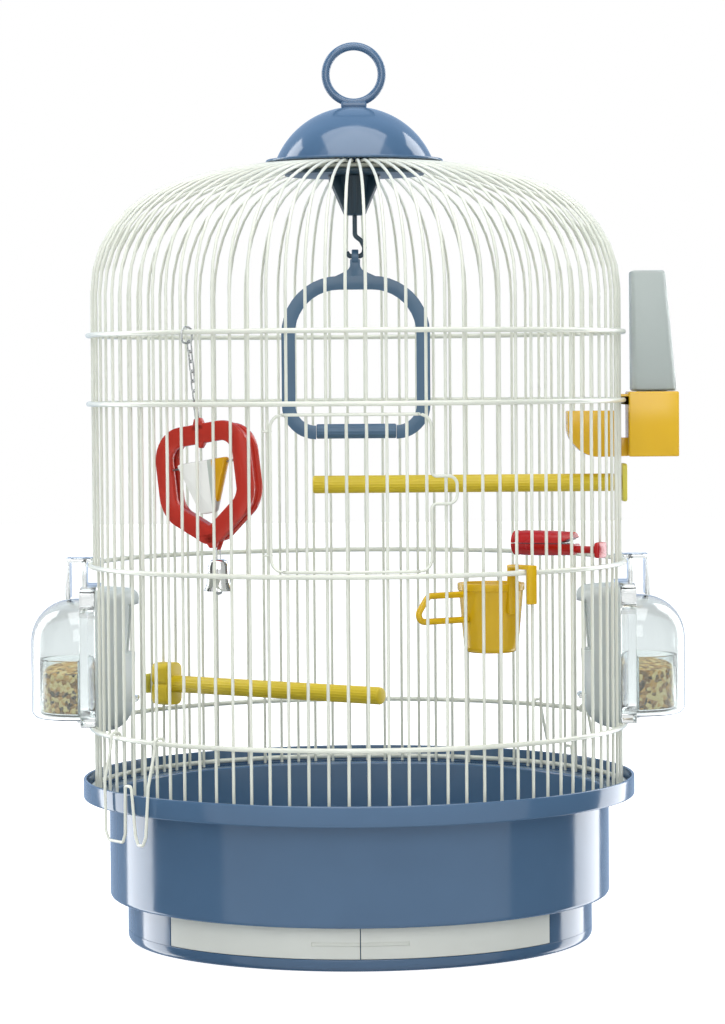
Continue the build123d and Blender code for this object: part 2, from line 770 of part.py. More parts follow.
def feeder_frame():
    """Frame that stands on ring 4 and hooks over ring 3 between two bars."""
    half_hole = cup_r + cup_play
    frame = block((frame_in_x, -frame_half_w, frame_low_z), (frame_out_x, frame_half_w, frame_top_z))
    frame -= block((frame_in_x - past, -half_hole, cover_low_z + feeder_wall),
                   (frame_out_x + past, half_hole, cover_high_z - frame_window_drop))
    top_z = ring_z["ring_3"] + ring_w / 2 + seat_gap + tab_t / 2
    post_x = frame_out_x - tab_t / 2
    over_x = bar_out_r + weld_gap + seat_gap
    tab = [(over_x, top_z), (tab_out_x - tab_t / 2, top_z), (tab_out_x - tab_t / 2, cover_high_z + seat_gap)]
    frame += upright_wire(tab, tab_t, 2 * tab_half_w)
    frame += upright_wire([(post_x, frame_top_z - past), (post_x, top_z)], tab_t, 2 * tab_half_w)
    hook_x = bar_r - bar_w / 2 - tab_t / 2 - seat_gap
    tongue_x = feeder_x + pivot_r + pivot_wall
    frame += block((frame_out_x - past, -2 * pivot_r, frame_low_z),
                   (tongue_x, 2 * pivot_r, cover_low_z - seat_gap))
    frame -= pivot_peg(pivot_r + pivot_play, frame_low_z - past, cup_low_z)
    hook = [(over_x + past, top_z), (hook_x, top_z), (hook_x, top_z - frame_hook_drop)]
    return frame + upright_wire(hook, tab_t, 2 * neck_half_w)


def half_disc(radius, setback):
    """Outer half of a disc about the feeder axis, cut back from it."""
    disc = RegularPolygon(radius, drum_sides) & (Pos(radius + setback, 0) * Rectangle(2 * radius, 2 * radius))
    return Pos(feeder_x, 0) * disc


def feeder_cup():
    """Half-round cup, open above."""
    cup = Pos(0, 0, cup_low_z) * extrude(half_disc(cup_r, cup_setback), cup_high_z - cup_low_z)
    cup += pivot_peg(pivot_r, frame_low_z, cup_low_z + cup_wall)
    room = half_disc(cup_r - cup_wall, cup_setback + cup_wall)
    return cup - Pos(0, 0, cup_low_z + cup_wall) * extrude(room, cup_high_z)


def feeder_seed():
    """The seed that fills the cup, a little short of its walls."""
    low_z = cup_low_z + cup_wall + seat_gap
    face = half_disc(cup_r - cup_wall - seat_gap, cup_setback + cup_wall + seat_gap)
    return Pos(0, 0, low_z) * extrude(face, seed_high_z - low_z)


both_sides = (90, -90)
save("feeder_covers", *[at_wall(feeder_cover(), side) for side in both_sides])
save("feeder_hoods", *[at_wall(feeder_hood(), side) for side in both_sides])
save("feeder_frames", *[at_wall(feeder_frame(), side) for side in both_sides])
for name, side in zip(("right", "left"), both_sides):
    save(f"feeder_cup_{name}", at_wall(feeder_cup(), side))
    save(f"seed_{name}", at_wall(feeder_seed(), side))


# Drinker: a box outside, a neck between two bars and a trough inside, with a bottle on the box
def drinker_body():
    """The yellow moulding that hangs on ring 2."""
    wall = drinker_wall
    box = block((drinker_in_x, -drinker_half_w, drinker_z), (drinker_out_x, drinker_half_w, drinker_top_z))
    box = chamfer(box.faces().sort_by(Axis.Z)[-1].edges().sort_by(Axis.X)[-1], drinker_bevel)
    room = block((drinker_in_x + wall, -drinker_half_w + wall, drinker_z + wall),
                 (drinker_out_x - drinker_bevel, drinker_half_w - wall, drinker_top_z + past))
    front = [(trough_out_x, drinker_z), (trough_in_x + trough_slope, drinker_z),
             (trough_in_x, drinker_z + trough_slope), (trough_in_x, trough_top_z), (trough_out_x, trough_top_z)]
    face = make_face(Polyline(*front, close=True))
    trough = extrude(Plane.XZ * face, trough_half_w, both=True)
    pool = extrude(Plane.XZ * offset(face, -wall), trough_half_w - wall, both=True)
    pool += block((trough_in_x + wall, wall - trough_half_w, trough_top_z - 2 * wall),
                  (trough_out_x - wall, trough_half_w - wall, trough_top_z + past))
    neck = block((trough_out_x - past, -neck_half_w, drinker_z),
                 (drinker_in_x + past, neck_half_w, drinker_z + neck_h))
    half_channel = neck_half_w - neck_wall
    channel = block((trough_out_x - 2 * wall, -half_channel, drinker_z + wall),
                    (drinker_in_x + 2 * wall, half_channel, drinker_z + neck_h - wall))
    body = box + trough + neck - room - pool - channel
    top_z = ring_z["ring_2"] + ring_w / 2 + seat_gap + wall_hook_t / 2
    leg_x = ring_in_r - wall_hook_play - seat_gap - wall_hook_t / 2
    back_x = drinker_in_x + wall_hook_t / 2
    back_leg, front_leg = wall_hook_legs
    hook = [(back_x, top_z - back_leg), (back_x, top_z), (leg_x, top_z), (leg_x, top_z - front_leg)]
    hook_y = ring_mid_r * sin(radians(pitch))
    for y in (-hook_y, hook_y):
        body += Pos(0, y, 0) * upright_wire(hook, wall_hook_t, wall_hook_w)
    return body


def taper_view(low, high, low_z, high_z):
    """Flat outline between a low and a high span."""
    return make_face(Polyline((low[0], low_z), (low[1], low_z), (high[1], high_z), (high[0], high_z), close=True))


def bottle_form(inset, low_z, high_z):
    """The bottle's straight-sided taper with cut corners, drawn in by the inset."""
    views = []
    for low, high in ((bottle_low_x, bottle_high_x), [(-half, half) for half in bottle_half_w]):
        views.append(taper_view((low[0] + inset, low[1] - inset), (high[0] + inset, high[1] - inset), low_z, high_z))
    solid = extrude(Plane.XZ * views[0], drinker_half_w, both=True)
    solid &= extrude(Plane.YZ * views[1], 2 * drinker_out_x)
    upright = solid.edges().filter_by(lambda edge: abs(edge.tangent_at(0).Z) > 0.5)
    return chamfer(upright, bottle_corner - inset / 2)


def bottle():
    """Clear bottle, closed above, with a neck that stands in the box."""
    t = bottle_wall
    foot_z = drinker_top_z + seat_gap
    outer = bottle_form(0, foot_z, bottle_top_z)
    inner = bottle_form(t, foot_z + t, bottle_top_z - t)
    neck_x = (bottle_low_x[0] + bottle_neck_inset, drinker_out_x - drinker_bevel - bottle_neck_inset)
    half = bottle_half_w[0] - bottle_neck_inset
    neck_low_z = foot_z - bottle_neck_h
    neck = block((neck_x[0], -half, neck_low_z), (neck_x[1], half, foot_z))
    bore = block((neck_x[0] + t, t - half, neck_low_z - past), (neck_x[1] - t, half - t, foot_z + 2 * t))
    return outer + neck - inner - bore


save("drinker_body", at_wall(drinker_body(), 90))
save("drinker_bottle", at_wall(bottle(), 90))


# Toy: a chain, a two-plate heart ring with a tumbler, and a bell
def toy_part(shape):
    """Place a shape drawn in the toy's wall frame."""
    return at_wall(shape, toy_steps * pitch)


loop_high_z = ring_z["ring_1"] + toy_loop_rise + toy_loop_wire
loop_low_z = loop_high_z - toy_loop_h
half_loop = toy_loop_wire / 2
toy_loop = block((toy_loop_x[0], -half_loop, loop_low_z), (toy_loop_x[1], half_loop, loop_high_z))
toy_loop -= block((toy_loop_x[0] + toy_loop_wire, -past, loop_low_z + toy_loop_wire),
                  (toy_loop_x[1] - toy_loop_wire, past, loop_high_z - toy_loop_wire))
link_face = Rectangle(link_w, link_l)
link_face = chamfer(link_face.vertices(), link_w / 3)
link_face -= Rectangle(link_w - 2 * link_wire, link_l - 2 * link_wire)
link = extrude(Plane.YZ * link_face, link_wire / 2, both=True)
link_pitch = link_l - 2 * link_wire - link_play
first_link_z = link_play + link_wire - link_l / 2
links = []
for i in range(toy_links):
    links.append(Pos(0, 0, first_link_z - i * link_pitch) * Rot(0, 0, 90 * (i % 2)) * link)
chain_top = (toy_loop_x[0] + toy_loop_wire + link_w / 2, 0, loop_low_z + toy_loop_wire)
hung_chain = [Pos(*chain_top) * Rot(0, toy_chain_lean, 0) * part for part in links]
save("toy_chain", toy_part(toy_loop), *[toy_part(part) for part in hung_chain])

chain_len = toy_links * link_pitch
lean = radians(toy_chain_lean)
lug_x = chain_top[0] - chain_len * sin(lean)
lug_z = chain_top[2] - chain_len * cos(lean)
lug_t = link_w - 2 * link_wire - lug_play


def from_lug(shape):
    """Tilt a shape drawn about the lug and place it in the cage."""
    return toy_part(Pos(lug_x, 0, lug_z) * Rot(toy_tilt, 0, 0) * shape)


heart_top = -heart_below_lug
heart_low = heart_top - heart_h
lobe_y = heart_half_w - heart_lobe_r
heart_circles = [(0, heart_low + heart_tip_r, heart_tip_r)]
for side in (-1, 1):
    heart_circles += [(side * lobe_y, heart_top - drop * heart_lobe_r, heart_lobe_r) for drop in (1, 2)]


def heart_plate(outer_inset, inner_inset, thickness, turn_step=30):
    """One of the heart's upright rings, given by how far its two outlines are drawn in."""
    face = soft_outline(heart_circles, outer_inset, turn_step)
    face -= soft_outline(heart_circles, inner_inset, turn_step)
    return extrude(Plane.YZ * face, thickness / 2, both=True)


heart_front = heart_plate(0, heart_band, heart_plate_t, 20)
cusp = Pos(0, 0, heart_top - heart_band) * Rot(45, 0, 0) * Box(heart_plate_t, heart_cusp_w, heart_cusp_w)
heart_back = heart_plate(heart_back_inset, heart_back_inset + heart_back_band, heart_plate_t)
web = heart_plate(heart_web_inset, heart_web_inset + heart_web_t, heart_plate_step)
web &= Pos(0, 0, heart_low) * Box(heart_plate_step, 4 * heart_half_w, heart_h)
front_shift = toy_front_x - heart_plate_t / 2 - lug_x
heart = heart_front + cusp + Pos(-heart_plate_step / 2, 0, 0) * web
heart += Pos(-heart_plate_step, 0, 0) * heart_back
heart = Pos(front_shift, 0, 0) * heart
half_lug, half_hole = lug_t / 2, lug_hole[0] / 2
stalk = block((-half_lug, -stalk_half, heart_top - stalk_bite), (half_lug, stalk_half, link_play + toy_loop_wire))
stalk -= block((-past, -half_hole, -link_wire - lug_hole[1]), (past, half_hole, link_play))
tip_z = heart_low - tip_eye_wall - tip_eye_hole[1]
eye_shift = front_shift - heart_plate_step / 2
half_eye, half_hole = tip_eye_t / 2, tip_eye_hole[0] / 2
tip_eye = block((eye_shift - half_eye, -tip_eye_half, tip_z),
                (eye_shift + half_eye, tip_eye_half, heart_low + tip_eye_bite))
tip_eye -= block((eye_shift - past, -half_hole, tip_z + tip_eye_wall), (eye_shift + past, half_hole, heart_low))
save("toy_heart", from_lug(heart + stalk + tip_eye))

axle_half = heart_half_w - heart_band / 2
axle_middle = Pos(front_shift, 0, -axle_drop)
axle = extrude(Plane.XZ * Rectangle(axle_w, axle_w), axle_half, both=True)
axle_slots = Pos(front_shift, 0, -axle_drop) * Box(2 * heart_plate_t, 2 * axle_half, axle_w)
save("toy_axle", from_lug(axle_middle * axle & axle_slots - heart))
tip_y, low_y = tumbler_half_w - tumbler_t / 2, tumbler_tip_half_w - tumbler_t / 2
tumbler_low_z = tumbler_t / 2 - tumbler_h
tumbler_circles = []
for side in (-1, 1):
    tumbler_circles += [(side * tip_y, 0, tumbler_t / 2), (side * low_y, tumbler_low_z, tumbler_t / 2)]
tumbler = extrude(Plane.YZ * soft_outline(tumbler_circles, 0, 30), tumbler_t / 2, both=True)
axle_bore_r = hypot(axle_w, axle_w) / 2 + tumbler_play
tumbler -= extrude(Plane.XZ * RegularPolygon(axle_bore_r, 12, major_radius=False), heart_half_w, both=True)
save("toy_tumbler", from_lug(axle_middle * tumbler))

# The bell hangs upright from the eye under the heart
tilt = radians(toy_tilt)
bell_eye_z = tip_z + tip_eye_wall + stem_play + bell_loop_wire / 2
bell_pivot = (lug_x + eye_shift, -bell_eye_z * sin(tilt), lug_z + bell_eye_z * cos(tilt))
half_wire = bell_loop_wire / 2
leg_in_x = half_eye + bell_loop_play
leg_out_x = leg_in_x + bell_loop_wire
bell_loop = block((-leg_out_x, -half_wire, -bell_drop - bell_wall), (leg_out_x, half_wire, half_wire))
bell_loop -= block((-leg_in_x, -past, past - bell_drop), (leg_in_x, past, -half_wire))


def bell_shell(inset):
    """The bell's outer or inner surface as a solid."""
    top, low = -bell_drop - inset, -bell_drop - bell_h
    return turned([(bell_r - inset, low), (bell_waist_r - inset, low + bell_h * 0.3),
                   (bell_waist_r - bell_crown_step - inset, top - bell_h * 0.2), (bell_top_r - inset, top)], 16)


low_rim = Pos(0, 0, -bell_drop - bell_h) * extrude(RegularPolygon(bell_r - bell_wall, 16), -1)
clapper_z = -bell_drop - bell_h * 0.25
bell = bell_shell(0) - bell_shell(bell_wall) - low_rim + bell_loop
crown_z = -bell_drop - bell_wall
bell -= block((-leg_out_x, -half_wire, crown_z - 3 * bell_wall), (leg_out_x, half_wire, crown_z))
bell += Pos(0, 0, clapper_z) * Box(bell_loop_wire, 2 * bell_waist_r - bell_wall, bell_loop_wire)
clapper_eye = Box(clapper_eye_w, bell_loop_wire, clapper_eye_w) - Box(clapper_eye_w / 2, past, clapper_eye_w / 2)
ball_z = -bell_h * clapper_drop
clapper_rod = block((-half_wire, -half_wire, ball_z + past), (half_wire, half_wire, -past))
clapper_ball = turned([(clapper_end_r, ball_z - clapper_r), (clapper_r, ball_z - clapper_end_r),
                       (clapper_r, ball_z + clapper_end_r), (clapper_end_r, ball_z + clapper_r)], 10)
save("toy_bell", toy_part(Pos(*bell_pivot) * bell))
clapper = Pos(0, 0, clapper_z) * (clapper_eye + clapper_rod + clapper_ball)
save("bell_clapper", toy_part(Pos(*bell_pivot) * clapper))


# Egg-food cup: hung over ring 3 by a strap, with a perch at its side
def egg_cup():
    """A tapered cup with a cut lower edge, its strap and its perch."""
    t = egg_wall
    foot_r, bend_z = egg_low_r - egg_round / 2, egg_low_z + egg_round
    cup = turned([(foot_r, egg_low_z), (egg_low_r, bend_z), (egg_top_r, egg_top_z)], drum_sides)
    room = turned([(foot_r - t, egg_low_z + t), (egg_low_r - t, bend_z + t / 2), (egg_top_r - t, egg_top_z)],
                  drum_sides)
    top_z = ring_z["ring_3"] + ring_w / 2 + seat_gap + egg_hook_t / 2
    in_x = egg_x + egg_top_r - past + egg_hook_t / 2
    out_x = ring_out_r / cos(pi / ring_sides) + seat_gap + egg_hook_t / 2
    strap = upright_wire([(in_x, egg_top_z - egg_leg_len), (in_x, top_z), (out_x, top_z),
                          (out_x, top_z - egg_strap_out_len)], egg_hook_t, egg_hook_w)
    (low_len, high_len), (low_z, high_z) = egg_perch_len, egg_perch_z
    perch = tangent_wire([(t - egg_top_r, low_z), (-egg_top_r - low_len, low_z), (-egg_top_r - high_len, high_z),
                          (t - egg_top_r, high_z)], egg_perch_w, egg_x)
    return Pos(egg_x, 0, 0) * cup + strap + perch - Pos(egg_x, 0, 0) * room


save("egg_cup", at_wall(egg_cup(), egg_steps * pitch))


# Treat clip: two half-round jaws on a pin, with a stub through the wall and a leaf spring
def treat_half(side):
    """One half-round jaw lying along X, above the middle plane for side 1 and below it for -1."""
    length = treat_x[1] - treat_x[0]
    rod = extrude(Plane.YZ * RegularPolygon(treat_r, treat_sides), length)
    rod += extrude(Plane.YZ * RegularPolygon(treat_r + treat_back_step, treat_sides), treat_jaw_back)
    low, high = (treat_flat, 2 * treat_r) if side > 0 else (-2 * treat_r, -treat_flat)
    return Pos(treat_x[0], 0, 0) * rod & block((0, -2 * treat_r, low), (treat_x[1], 2 * treat_r, high))


pin = extrude(Plane.XZ * RegularPolygon(treat_pin_r, 12), treat_r - past, both=True)
half_len, half_wide = treat_tongue[0] / 2, treat_tongue[1] / 2
tongue = block((treat_pin_x - half_len, -half_wide, -half_len),
               (treat_pin_x + half_len, half_wide, 2 * half_len))
lower_jaw = treat_half(-1) + tongue + Pos(treat_pin_x, 0, treat_pin_z) * pin
stub_from_x = treat_x[1] - treat_stub_r
stub_z = -treat_r / 2
stub = extrude(Plane.YZ * RegularPolygon(treat_stub_r, 12), plate_in_x + perch_plate_t - stub_from_x)
outer_plate = extrude(Plane.YZ * soft_rectangle(*treat_plate, treat_plate_corner), perch_plate_t)
lower_jaw += Pos(stub_from_x, 0, stub_z) * stub + Pos(plate_in_x, 0, stub_z) * outer_plate
save("treat_holder", at_wall(Pos(0, 0, treat_z) * lower_jaw, treat_steps * pitch))

bore_face = RegularPolygon(treat_pin_r + treat_pin_play, 12, major_radius=False)
bore = extrude(Plane.XZ * bore_face, 2 * treat_r, both=True)
slot_x, slot_y = half_len + treat_tongue_play, half_wide + stem_play
slot = block((treat_pin_x - slot_x, -slot_y, 0), (treat_pin_x + slot_x, slot_y, 2 * treat_r))
wedge_x = treat_pin_x + treat_pin_r
wedge_high_z = treat_flat + (treat_x[1] - wedge_x) * tan(radians(treat_open))
wedge = Polyline((wedge_x, 0), (treat_x[1] + past, 0), (treat_x[1] + past, wedge_high_z), (wedge_x, treat_flat),
                 close=True)
wedge = extrude(Plane.XZ * make_face(wedge), 2 * treat_r, both=True)
upper_jaw = treat_half(1) - Pos(treat_pin_x, 0, treat_pin_z) * bore - slot - wedge
save("treat_jaw", at_wall(Pos(0, 0, treat_z) * upper_jaw, treat_steps * pitch))

leaf_z = spring_t / 2 + weld_gap - treat_flat
leaf_x = (treat_pin_x + slot_x + spring_t, treat_x[1] - 2 * spring_t)
leaf = [(leaf_x[0], leaf_z), (leaf_x[1], leaf_z), (leaf_x[1], wedge_high_z / 2),
        (leaf_x[0] + past, wedge_high_z / 3)]
save("treat_spring", at_wall(Pos(0, 0, treat_z) * upright_wire(leaf, spring_t, spring_w), treat_steps * pitch))
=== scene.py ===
from math import asin, atan, cos, degrees, pi, radians, sin, tan

import bmesh
import bpy
from bpy.props import FloatProperty, FloatVectorProperty, IntProperty, PointerProperty
from mathutils import Matrix, Vector


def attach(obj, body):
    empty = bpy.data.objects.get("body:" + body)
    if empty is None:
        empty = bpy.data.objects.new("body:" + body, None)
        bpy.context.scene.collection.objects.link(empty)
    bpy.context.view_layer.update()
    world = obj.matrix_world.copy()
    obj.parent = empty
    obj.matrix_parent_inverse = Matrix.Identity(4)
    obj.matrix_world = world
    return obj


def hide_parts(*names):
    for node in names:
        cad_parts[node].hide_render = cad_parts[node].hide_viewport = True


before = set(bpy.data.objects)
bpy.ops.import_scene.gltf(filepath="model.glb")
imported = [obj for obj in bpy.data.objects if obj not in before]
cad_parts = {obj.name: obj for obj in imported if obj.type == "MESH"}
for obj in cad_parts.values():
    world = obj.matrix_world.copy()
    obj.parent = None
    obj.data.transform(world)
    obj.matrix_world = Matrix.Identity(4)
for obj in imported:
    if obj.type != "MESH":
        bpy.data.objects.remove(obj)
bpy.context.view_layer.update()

bl_info = {
    "name": "Round Wire Bird Cage",
    "version": (1, 0, 0),
    "blender": (4, 5, 0),
    "location": "View3D > Sidebar > Bird Cage",
    "description": "Builds a round wire cage on a blue tray, with its cap, swing, perches and feeders",
    "category": "Object",
}

# Sizes below are in millimetres in the pieces and in metres in the properties.
MM = 0.001


# Colour and material helpers

def linear(hex_text):
    """An sRGB hex colour as the linear colour that shaders use."""
    channels = []
    for start in (1, 3, 5):
        value = int(hex_text[start:start + 2], 16) / 255
        channels.append(value / 12.92 if value <= 0.04045 else ((value + 0.055) / 1.055) ** 2.4)
    return (*channels, 1.0)


def add(tree, kind, inputs=None, **settings):
    """One node with its settings; an input is a value or another node's output."""
    node = tree.nodes.new(kind)
    for name, value in settings.items():
        setattr(node, name, value)
    for name, value in (inputs or {}).items():
        if isinstance(value, bpy.types.NodeSocket):
            tree.links.new(value, node.inputs[name])
        else:
            node.inputs[name].default_value = value
    return node


def blank(name):
    """A new material with its node tree emptied, and the tree."""
    material = bpy.data.materials.new(name)
    material.use_nodes = True
    material.node_tree.nodes.clear()
    return material, material.node_tree


# How far handling dulls moulded plastic, and how strongly the plastic bends light
HANDLED, PLASTIC_IOR = 0.06, 1.5


def moulded(name, colour, deep, roughness, grain=0.9, relief=0.02, haze=0.0):
    """Injection-moulded plastic: a colour that drifts a little over hand widths, a fine skin
    from the mould's texture, and a gloss that dulls slightly where the piece is handled. The
    skin is drawn coarser than real, so that it shows."""
    material, tree = blank(name)
    place = add(tree, "ShaderNodeTexCoord").outputs["Object"]
    drift = add(tree, "ShaderNodeTexNoise", {"Vector": place, "Scale": 1 / (45 * MM), "Detail": 2.0})
    tint = add(tree, "ShaderNodeMix", {"Factor": drift.outputs["Fac"]}, data_type="RGBA")
    tint.inputs["A"].default_value = colour
    tint.inputs["B"].default_value = deep
    handling = add(tree, "ShaderNodeTexNoise", {"Vector": place, "Scale": 1 / (14 * MM), "Detail": 5.0})
    dulling = add(tree, "ShaderNodeMapRange", {"Value": handling.outputs["Fac"], "From Min": 0.3,
                                              "From Max": 0.75, "To Min": roughness,
                                              "To Max": roughness + HANDLED})
    skin = add(tree, "ShaderNodeTexNoise", {"Vector": place, "Scale": 1 / (grain * MM), "Detail": 3.0})
    relief_node = add(tree, "ShaderNodeBump", {"Height": skin.outputs["Fac"], "Strength": 0.35,
                                               "Distance": relief * MM})
    surface = add(tree, "ShaderNodeBsdfPrincipled", {
        "Base Color": tint.outputs["Result"], "Roughness": dulling.outputs["Result"],
        "Normal": relief_node.outputs["Normal"], "IOR": PLASTIC_IOR, "Subsurface Weight": haze})
    if haze:
        surface.inputs["Subsurface Radius"].default_value = (1.0, 0.8, 0.6)
        surface.inputs["Subsurface Scale"].default_value = 2 * MM
    add(tree, "ShaderNodeOutputMaterial", {"Surface": surface.outputs["BSDF"]})
    return material


def coated_wire(name, colour, shade):
    """Steel wire dipped in epoxy: an off-white skin, thicker in long soft runs along the wire,
    with a satin gloss that keeps a narrow highlight down each bar."""
    material, tree = blank(name)
    place = add(tree, "ShaderNodeTexCoord").outputs["Object"]
    runs = add(tree, "ShaderNodeMapping", {"Vector": place, "Scale": (1.0, 1.0, 0.25)})
    run = runs.outputs["Vector"]
    drift = add(tree, "ShaderNodeTexNoise", {"Vector": run, "Scale": 1 / (18 * MM), "Detail": 2.0})
    tint = add(tree, "ShaderNodeMix", {"Factor": drift.outputs["Fac"]}, data_type="RGBA")
    tint.inputs["A"].default_value = colour
    tint.inputs["B"].default_value = shade
    swell = add(tree, "ShaderNodeTexNoise", {"Vector": run, "Scale": 1 / (5 * MM), "Detail": 1.0})
    relief = add(tree, "ShaderNodeBump", {"Height": swell.outputs["Fac"], "Strength": 0.3,
                                          "Distance": 0.12 * MM})
    surface = add(tree, "ShaderNodeBsdfPrincipled", {
        "Base Color": tint.outputs["Result"], "Roughness": 0.32, "IOR": 1.52,
        "Normal": relief.outputs["Normal"], "Coat Weight": 0.25, "Coat Roughness": 0.15})
    add(tree, "ShaderNodeOutputMaterial", {"Surface": surface.outputs["BSDF"]})
    return material


def clear_moulding(name, colour, roughness, ior):
    """Clear moulded styrene: see-through with bright edges, and a faint haze of cleaning marks.
    Lamps shine through it, so what lies inside isn't left dark."""
    material, tree = blank(name)
    place = add(tree, "ShaderNodeTexCoord").outputs["Object"]
    marks = add(tree, "ShaderNodeTexNoise", {"Vector": place, "Scale": 1 / (6 * MM), "Detail": 6.0})
    haze = add(tree, "ShaderNodeMapRange", {"Value": marks.outputs["Fac"], "From Min": 0.35, "From Max": 0.7,
                                           "To Min": roughness, "To Max": roughness + 0.05})
    surface = add(tree, "ShaderNodeBsdfPrincipled", {
        "Base Color": colour, "Roughness": haze.outputs["Result"], "IOR": ior, "Transmission Weight": 1.0})
    path = add(tree, "ShaderNodeLightPath")
    window = add(tree, "ShaderNodeBsdfTransparent", {"Color": (0.93, 0.94, 0.94, 1)})
    mixed = add(tree, "ShaderNodeMixShader", {"Fac": path.outputs["Is Shadow Ray"]})
    tree.links.new(surface.outputs["BSDF"], mixed.inputs[1])
    tree.links.new(window.outputs["BSDF"], mixed.inputs[2])
    add(tree, "ShaderNodeOutputMaterial", {"Surface": mixed.outputs["Shader"]})
    return material


def frosted_bottle(name, colour):
    """Thin blown polypropylene: milky, so it glows pale grey and only hints at what is behind it."""
    material, tree = blank(name)
    place = add(tree, "ShaderNodeTexCoord").outputs["Object"]
    cloud = add(tree, "ShaderNodeTexNoise", {"Vector": place, "Scale": 1 / (20 * MM), "Detail": 3.0})
    milk = add(tree, "ShaderNodeMapRange", {"Value": cloud.outputs["Fac"], "To Min": 0.32, "To Max": 0.44})
    surface = add(tree, "ShaderNodeBsdfPrincipled", {
        "Base Color": colour, "Roughness": milk.outputs["Result"], "IOR": 1.49, "Transmission Weight": 0.75})
    add(tree, "ShaderNodeOutputMaterial", {"Surface": surface.outputs["BSDF"]})
    return material


def steel(name, colour, roughness):
    """Nickel-plated steel or chrome: bare metal whose bright and dark come from the room,
    with the fine scratches of handling, drawn a little coarser than real."""
    material, tree = blank(name)
    place = add(tree, "ShaderNodeTexCoord").outputs["Object"]
    wear = add(tree, "ShaderNodeTexNoise", {"Vector": place, "Scale": 1 / (1.5 * MM), "Detail": 4.0})
    dulling = add(tree, "ShaderNodeMapRange", {"Value": wear.outputs["Fac"], "To Min": roughness,
                                              "To Max": roughness + 0.12})
    surface = add(tree, "ShaderNodeBsdfPrincipled", {
        "Base Color": colour, "Metallic": 1.0, "Roughness": dulling.outputs["Result"]})
    add(tree, "ShaderNodeOutputMaterial", {"Surface": surface.outputs["BSDF"]})
    return material


def seed_mix(name):
    """Loose canary seed: husks about 2.4 mm long in straw, tan, brown and near black, each one
    rounded and casting its own small shadow."""
    material, tree = blank(name)
    place = add(tree, "ShaderNodeTexCoord").outputs["Object"]
    husks = add(tree, "ShaderNodeTexVoronoi", {"Vector": place, "Scale": 1 / (2.4 * MM), "Randomness": 1.0})
    pick = add(tree, "ShaderNodeSeparateColor", {"Color": husks.outputs["Color"]})
    ramp = add(tree, "ShaderNodeValToRGB", {"Fac": pick.outputs["Red"]})
    ramp.color_ramp.interpolation = "CONSTANT"
    stops = (("#D2A452", 0.0), ("#A87A33", 0.3), ("#E8D390", 0.5), ("#84622A", 0.74), ("#4A3B20", 0.92))
    ramp.color_ramp.elements.remove(ramp.color_ramp.elements[-1])
    fill_ramp(ramp.color_ramp, stops)
    relief = add(tree, "ShaderNodeBump", {"Height": husks.outputs["Distance"], "Strength": 0.9,
                                          "Distance": 0.9 * MM}, invert=True)
    surface = add(tree, "ShaderNodeBsdfPrincipled", {
        "Base Color": ramp.outputs["Color"], "Roughness": 0.55, "Normal": relief.outputs["Normal"]})
    add(tree, "ShaderNodeOutputMaterial", {"Surface": surface.outputs["BSDF"]})
    return material


def fill_ramp(ramp, stops):
    """Give a colour ramp its stops, each a hex colour and a position."""
    for colour, position in stops[len(ramp.elements):]:
        ramp.elements.new(position)
    for element, (colour, position) in zip(ramp.elements, stops):
        element.position = position
        element.color = linear(colour)


def material(key):
    """The named finish, made the first time that a piece asks for it."""
    if key not in FINISHES:
        FINISHES[key] = MAKERS[key]()
    return FINISHES[key]


FINISHES = {}
MAKERS = {
    # Polished mould faces give the blue ABS a deep gloss with long clean reflections
    "tray": lambda: moulded("blue_abs_gloss_moulded", own_colour("cage_tray"), linear("#466280"), 0.09,
                            grain=3.0, relief=0.006),
    "swing": lambda: plastic("blue_abs_satin_moulded", "#4A6A86", "#436079", 0.28),
    "petrol": lambda: plastic("petrol_nylon_moulded", "#1F3D4C", "#182F3D", 0.34),
    # The drawers come from a textured mould, so they stay pale and even with no mirror image
    "drawer": lambda: plastic("warm_grey_polystyrene_moulded", "#E0E3DC", "#D6D8D1", 0.42),
    # The coating is a touch green against blue and grey against white
    "wire": lambda: coated_wire("epoxy_coated_steel_wire", own_colour("cage_wires"), linear("#CDD1C6")),
    # Polypropylene rods keep a soft sheen and let a little light in at their tops
    "perch": lambda: moulded("yellow_polypropylene_rod", own_colour("cage_perches"), linear("#CBAE1C"), 0.38,
                             haze=0.08),
    "plate": lambda: plastic("yellow_polypropylene_plate", "#D3C63C", "#C3C05A", 0.38, 0.1),
    "yellow": lambda: plastic("yellow_polystyrene_gloss", "#DDB418", "#D3A30E", 0.18, 0.06),
    "egg": lambda: plastic("ochre_polystyrene_gloss", "#D8B212", "#C99F0C", 0.2, 0.06),
    "heart": lambda: plastic("red_acrylic_gloss_moulded", "#C03A2C", "#AE2A20", 0.2, 0.05),
    "treat": lambda: plastic("deep_red_abs_moulded", "#B80D12", "#A00A10", 0.24),
    "tumbler": lambda: plastic("white_polystyrene_gloss", "#F2F3EF", "#E6E8E4", 0.2),
    "strip": lambda: plastic("grey_polystyrene_strip", "#B9C2BB", "#AEB7B0", 0.3),
    "panel": lambda: plastic("yellow_polystyrene_panel", "#D6A41A", "#CC9912", 0.22),
    "hood": lambda: plastic("smoke_grey_polypropylene", "#C3CAC8", "#B4BCBA", 0.4, 0.12),
    "clear": lambda: clear_moulding("clear_polystyrene_moulded", linear("#E4E8E8"), 0.03, 1.45),
    "bottle": lambda: frosted_bottle("frosted_polypropylene_blown", linear("#CFD6D4")),
    "seed": lambda: seed_mix("mixed_canary_seed"),
    "chain": lambda: steel("nickel_plated_steel_wire", linear("#B9BCBC"), 0.22),
    "bell": lambda: steel("chromed_brass_bell", linear("#D9DBDC"), 0.05),
}


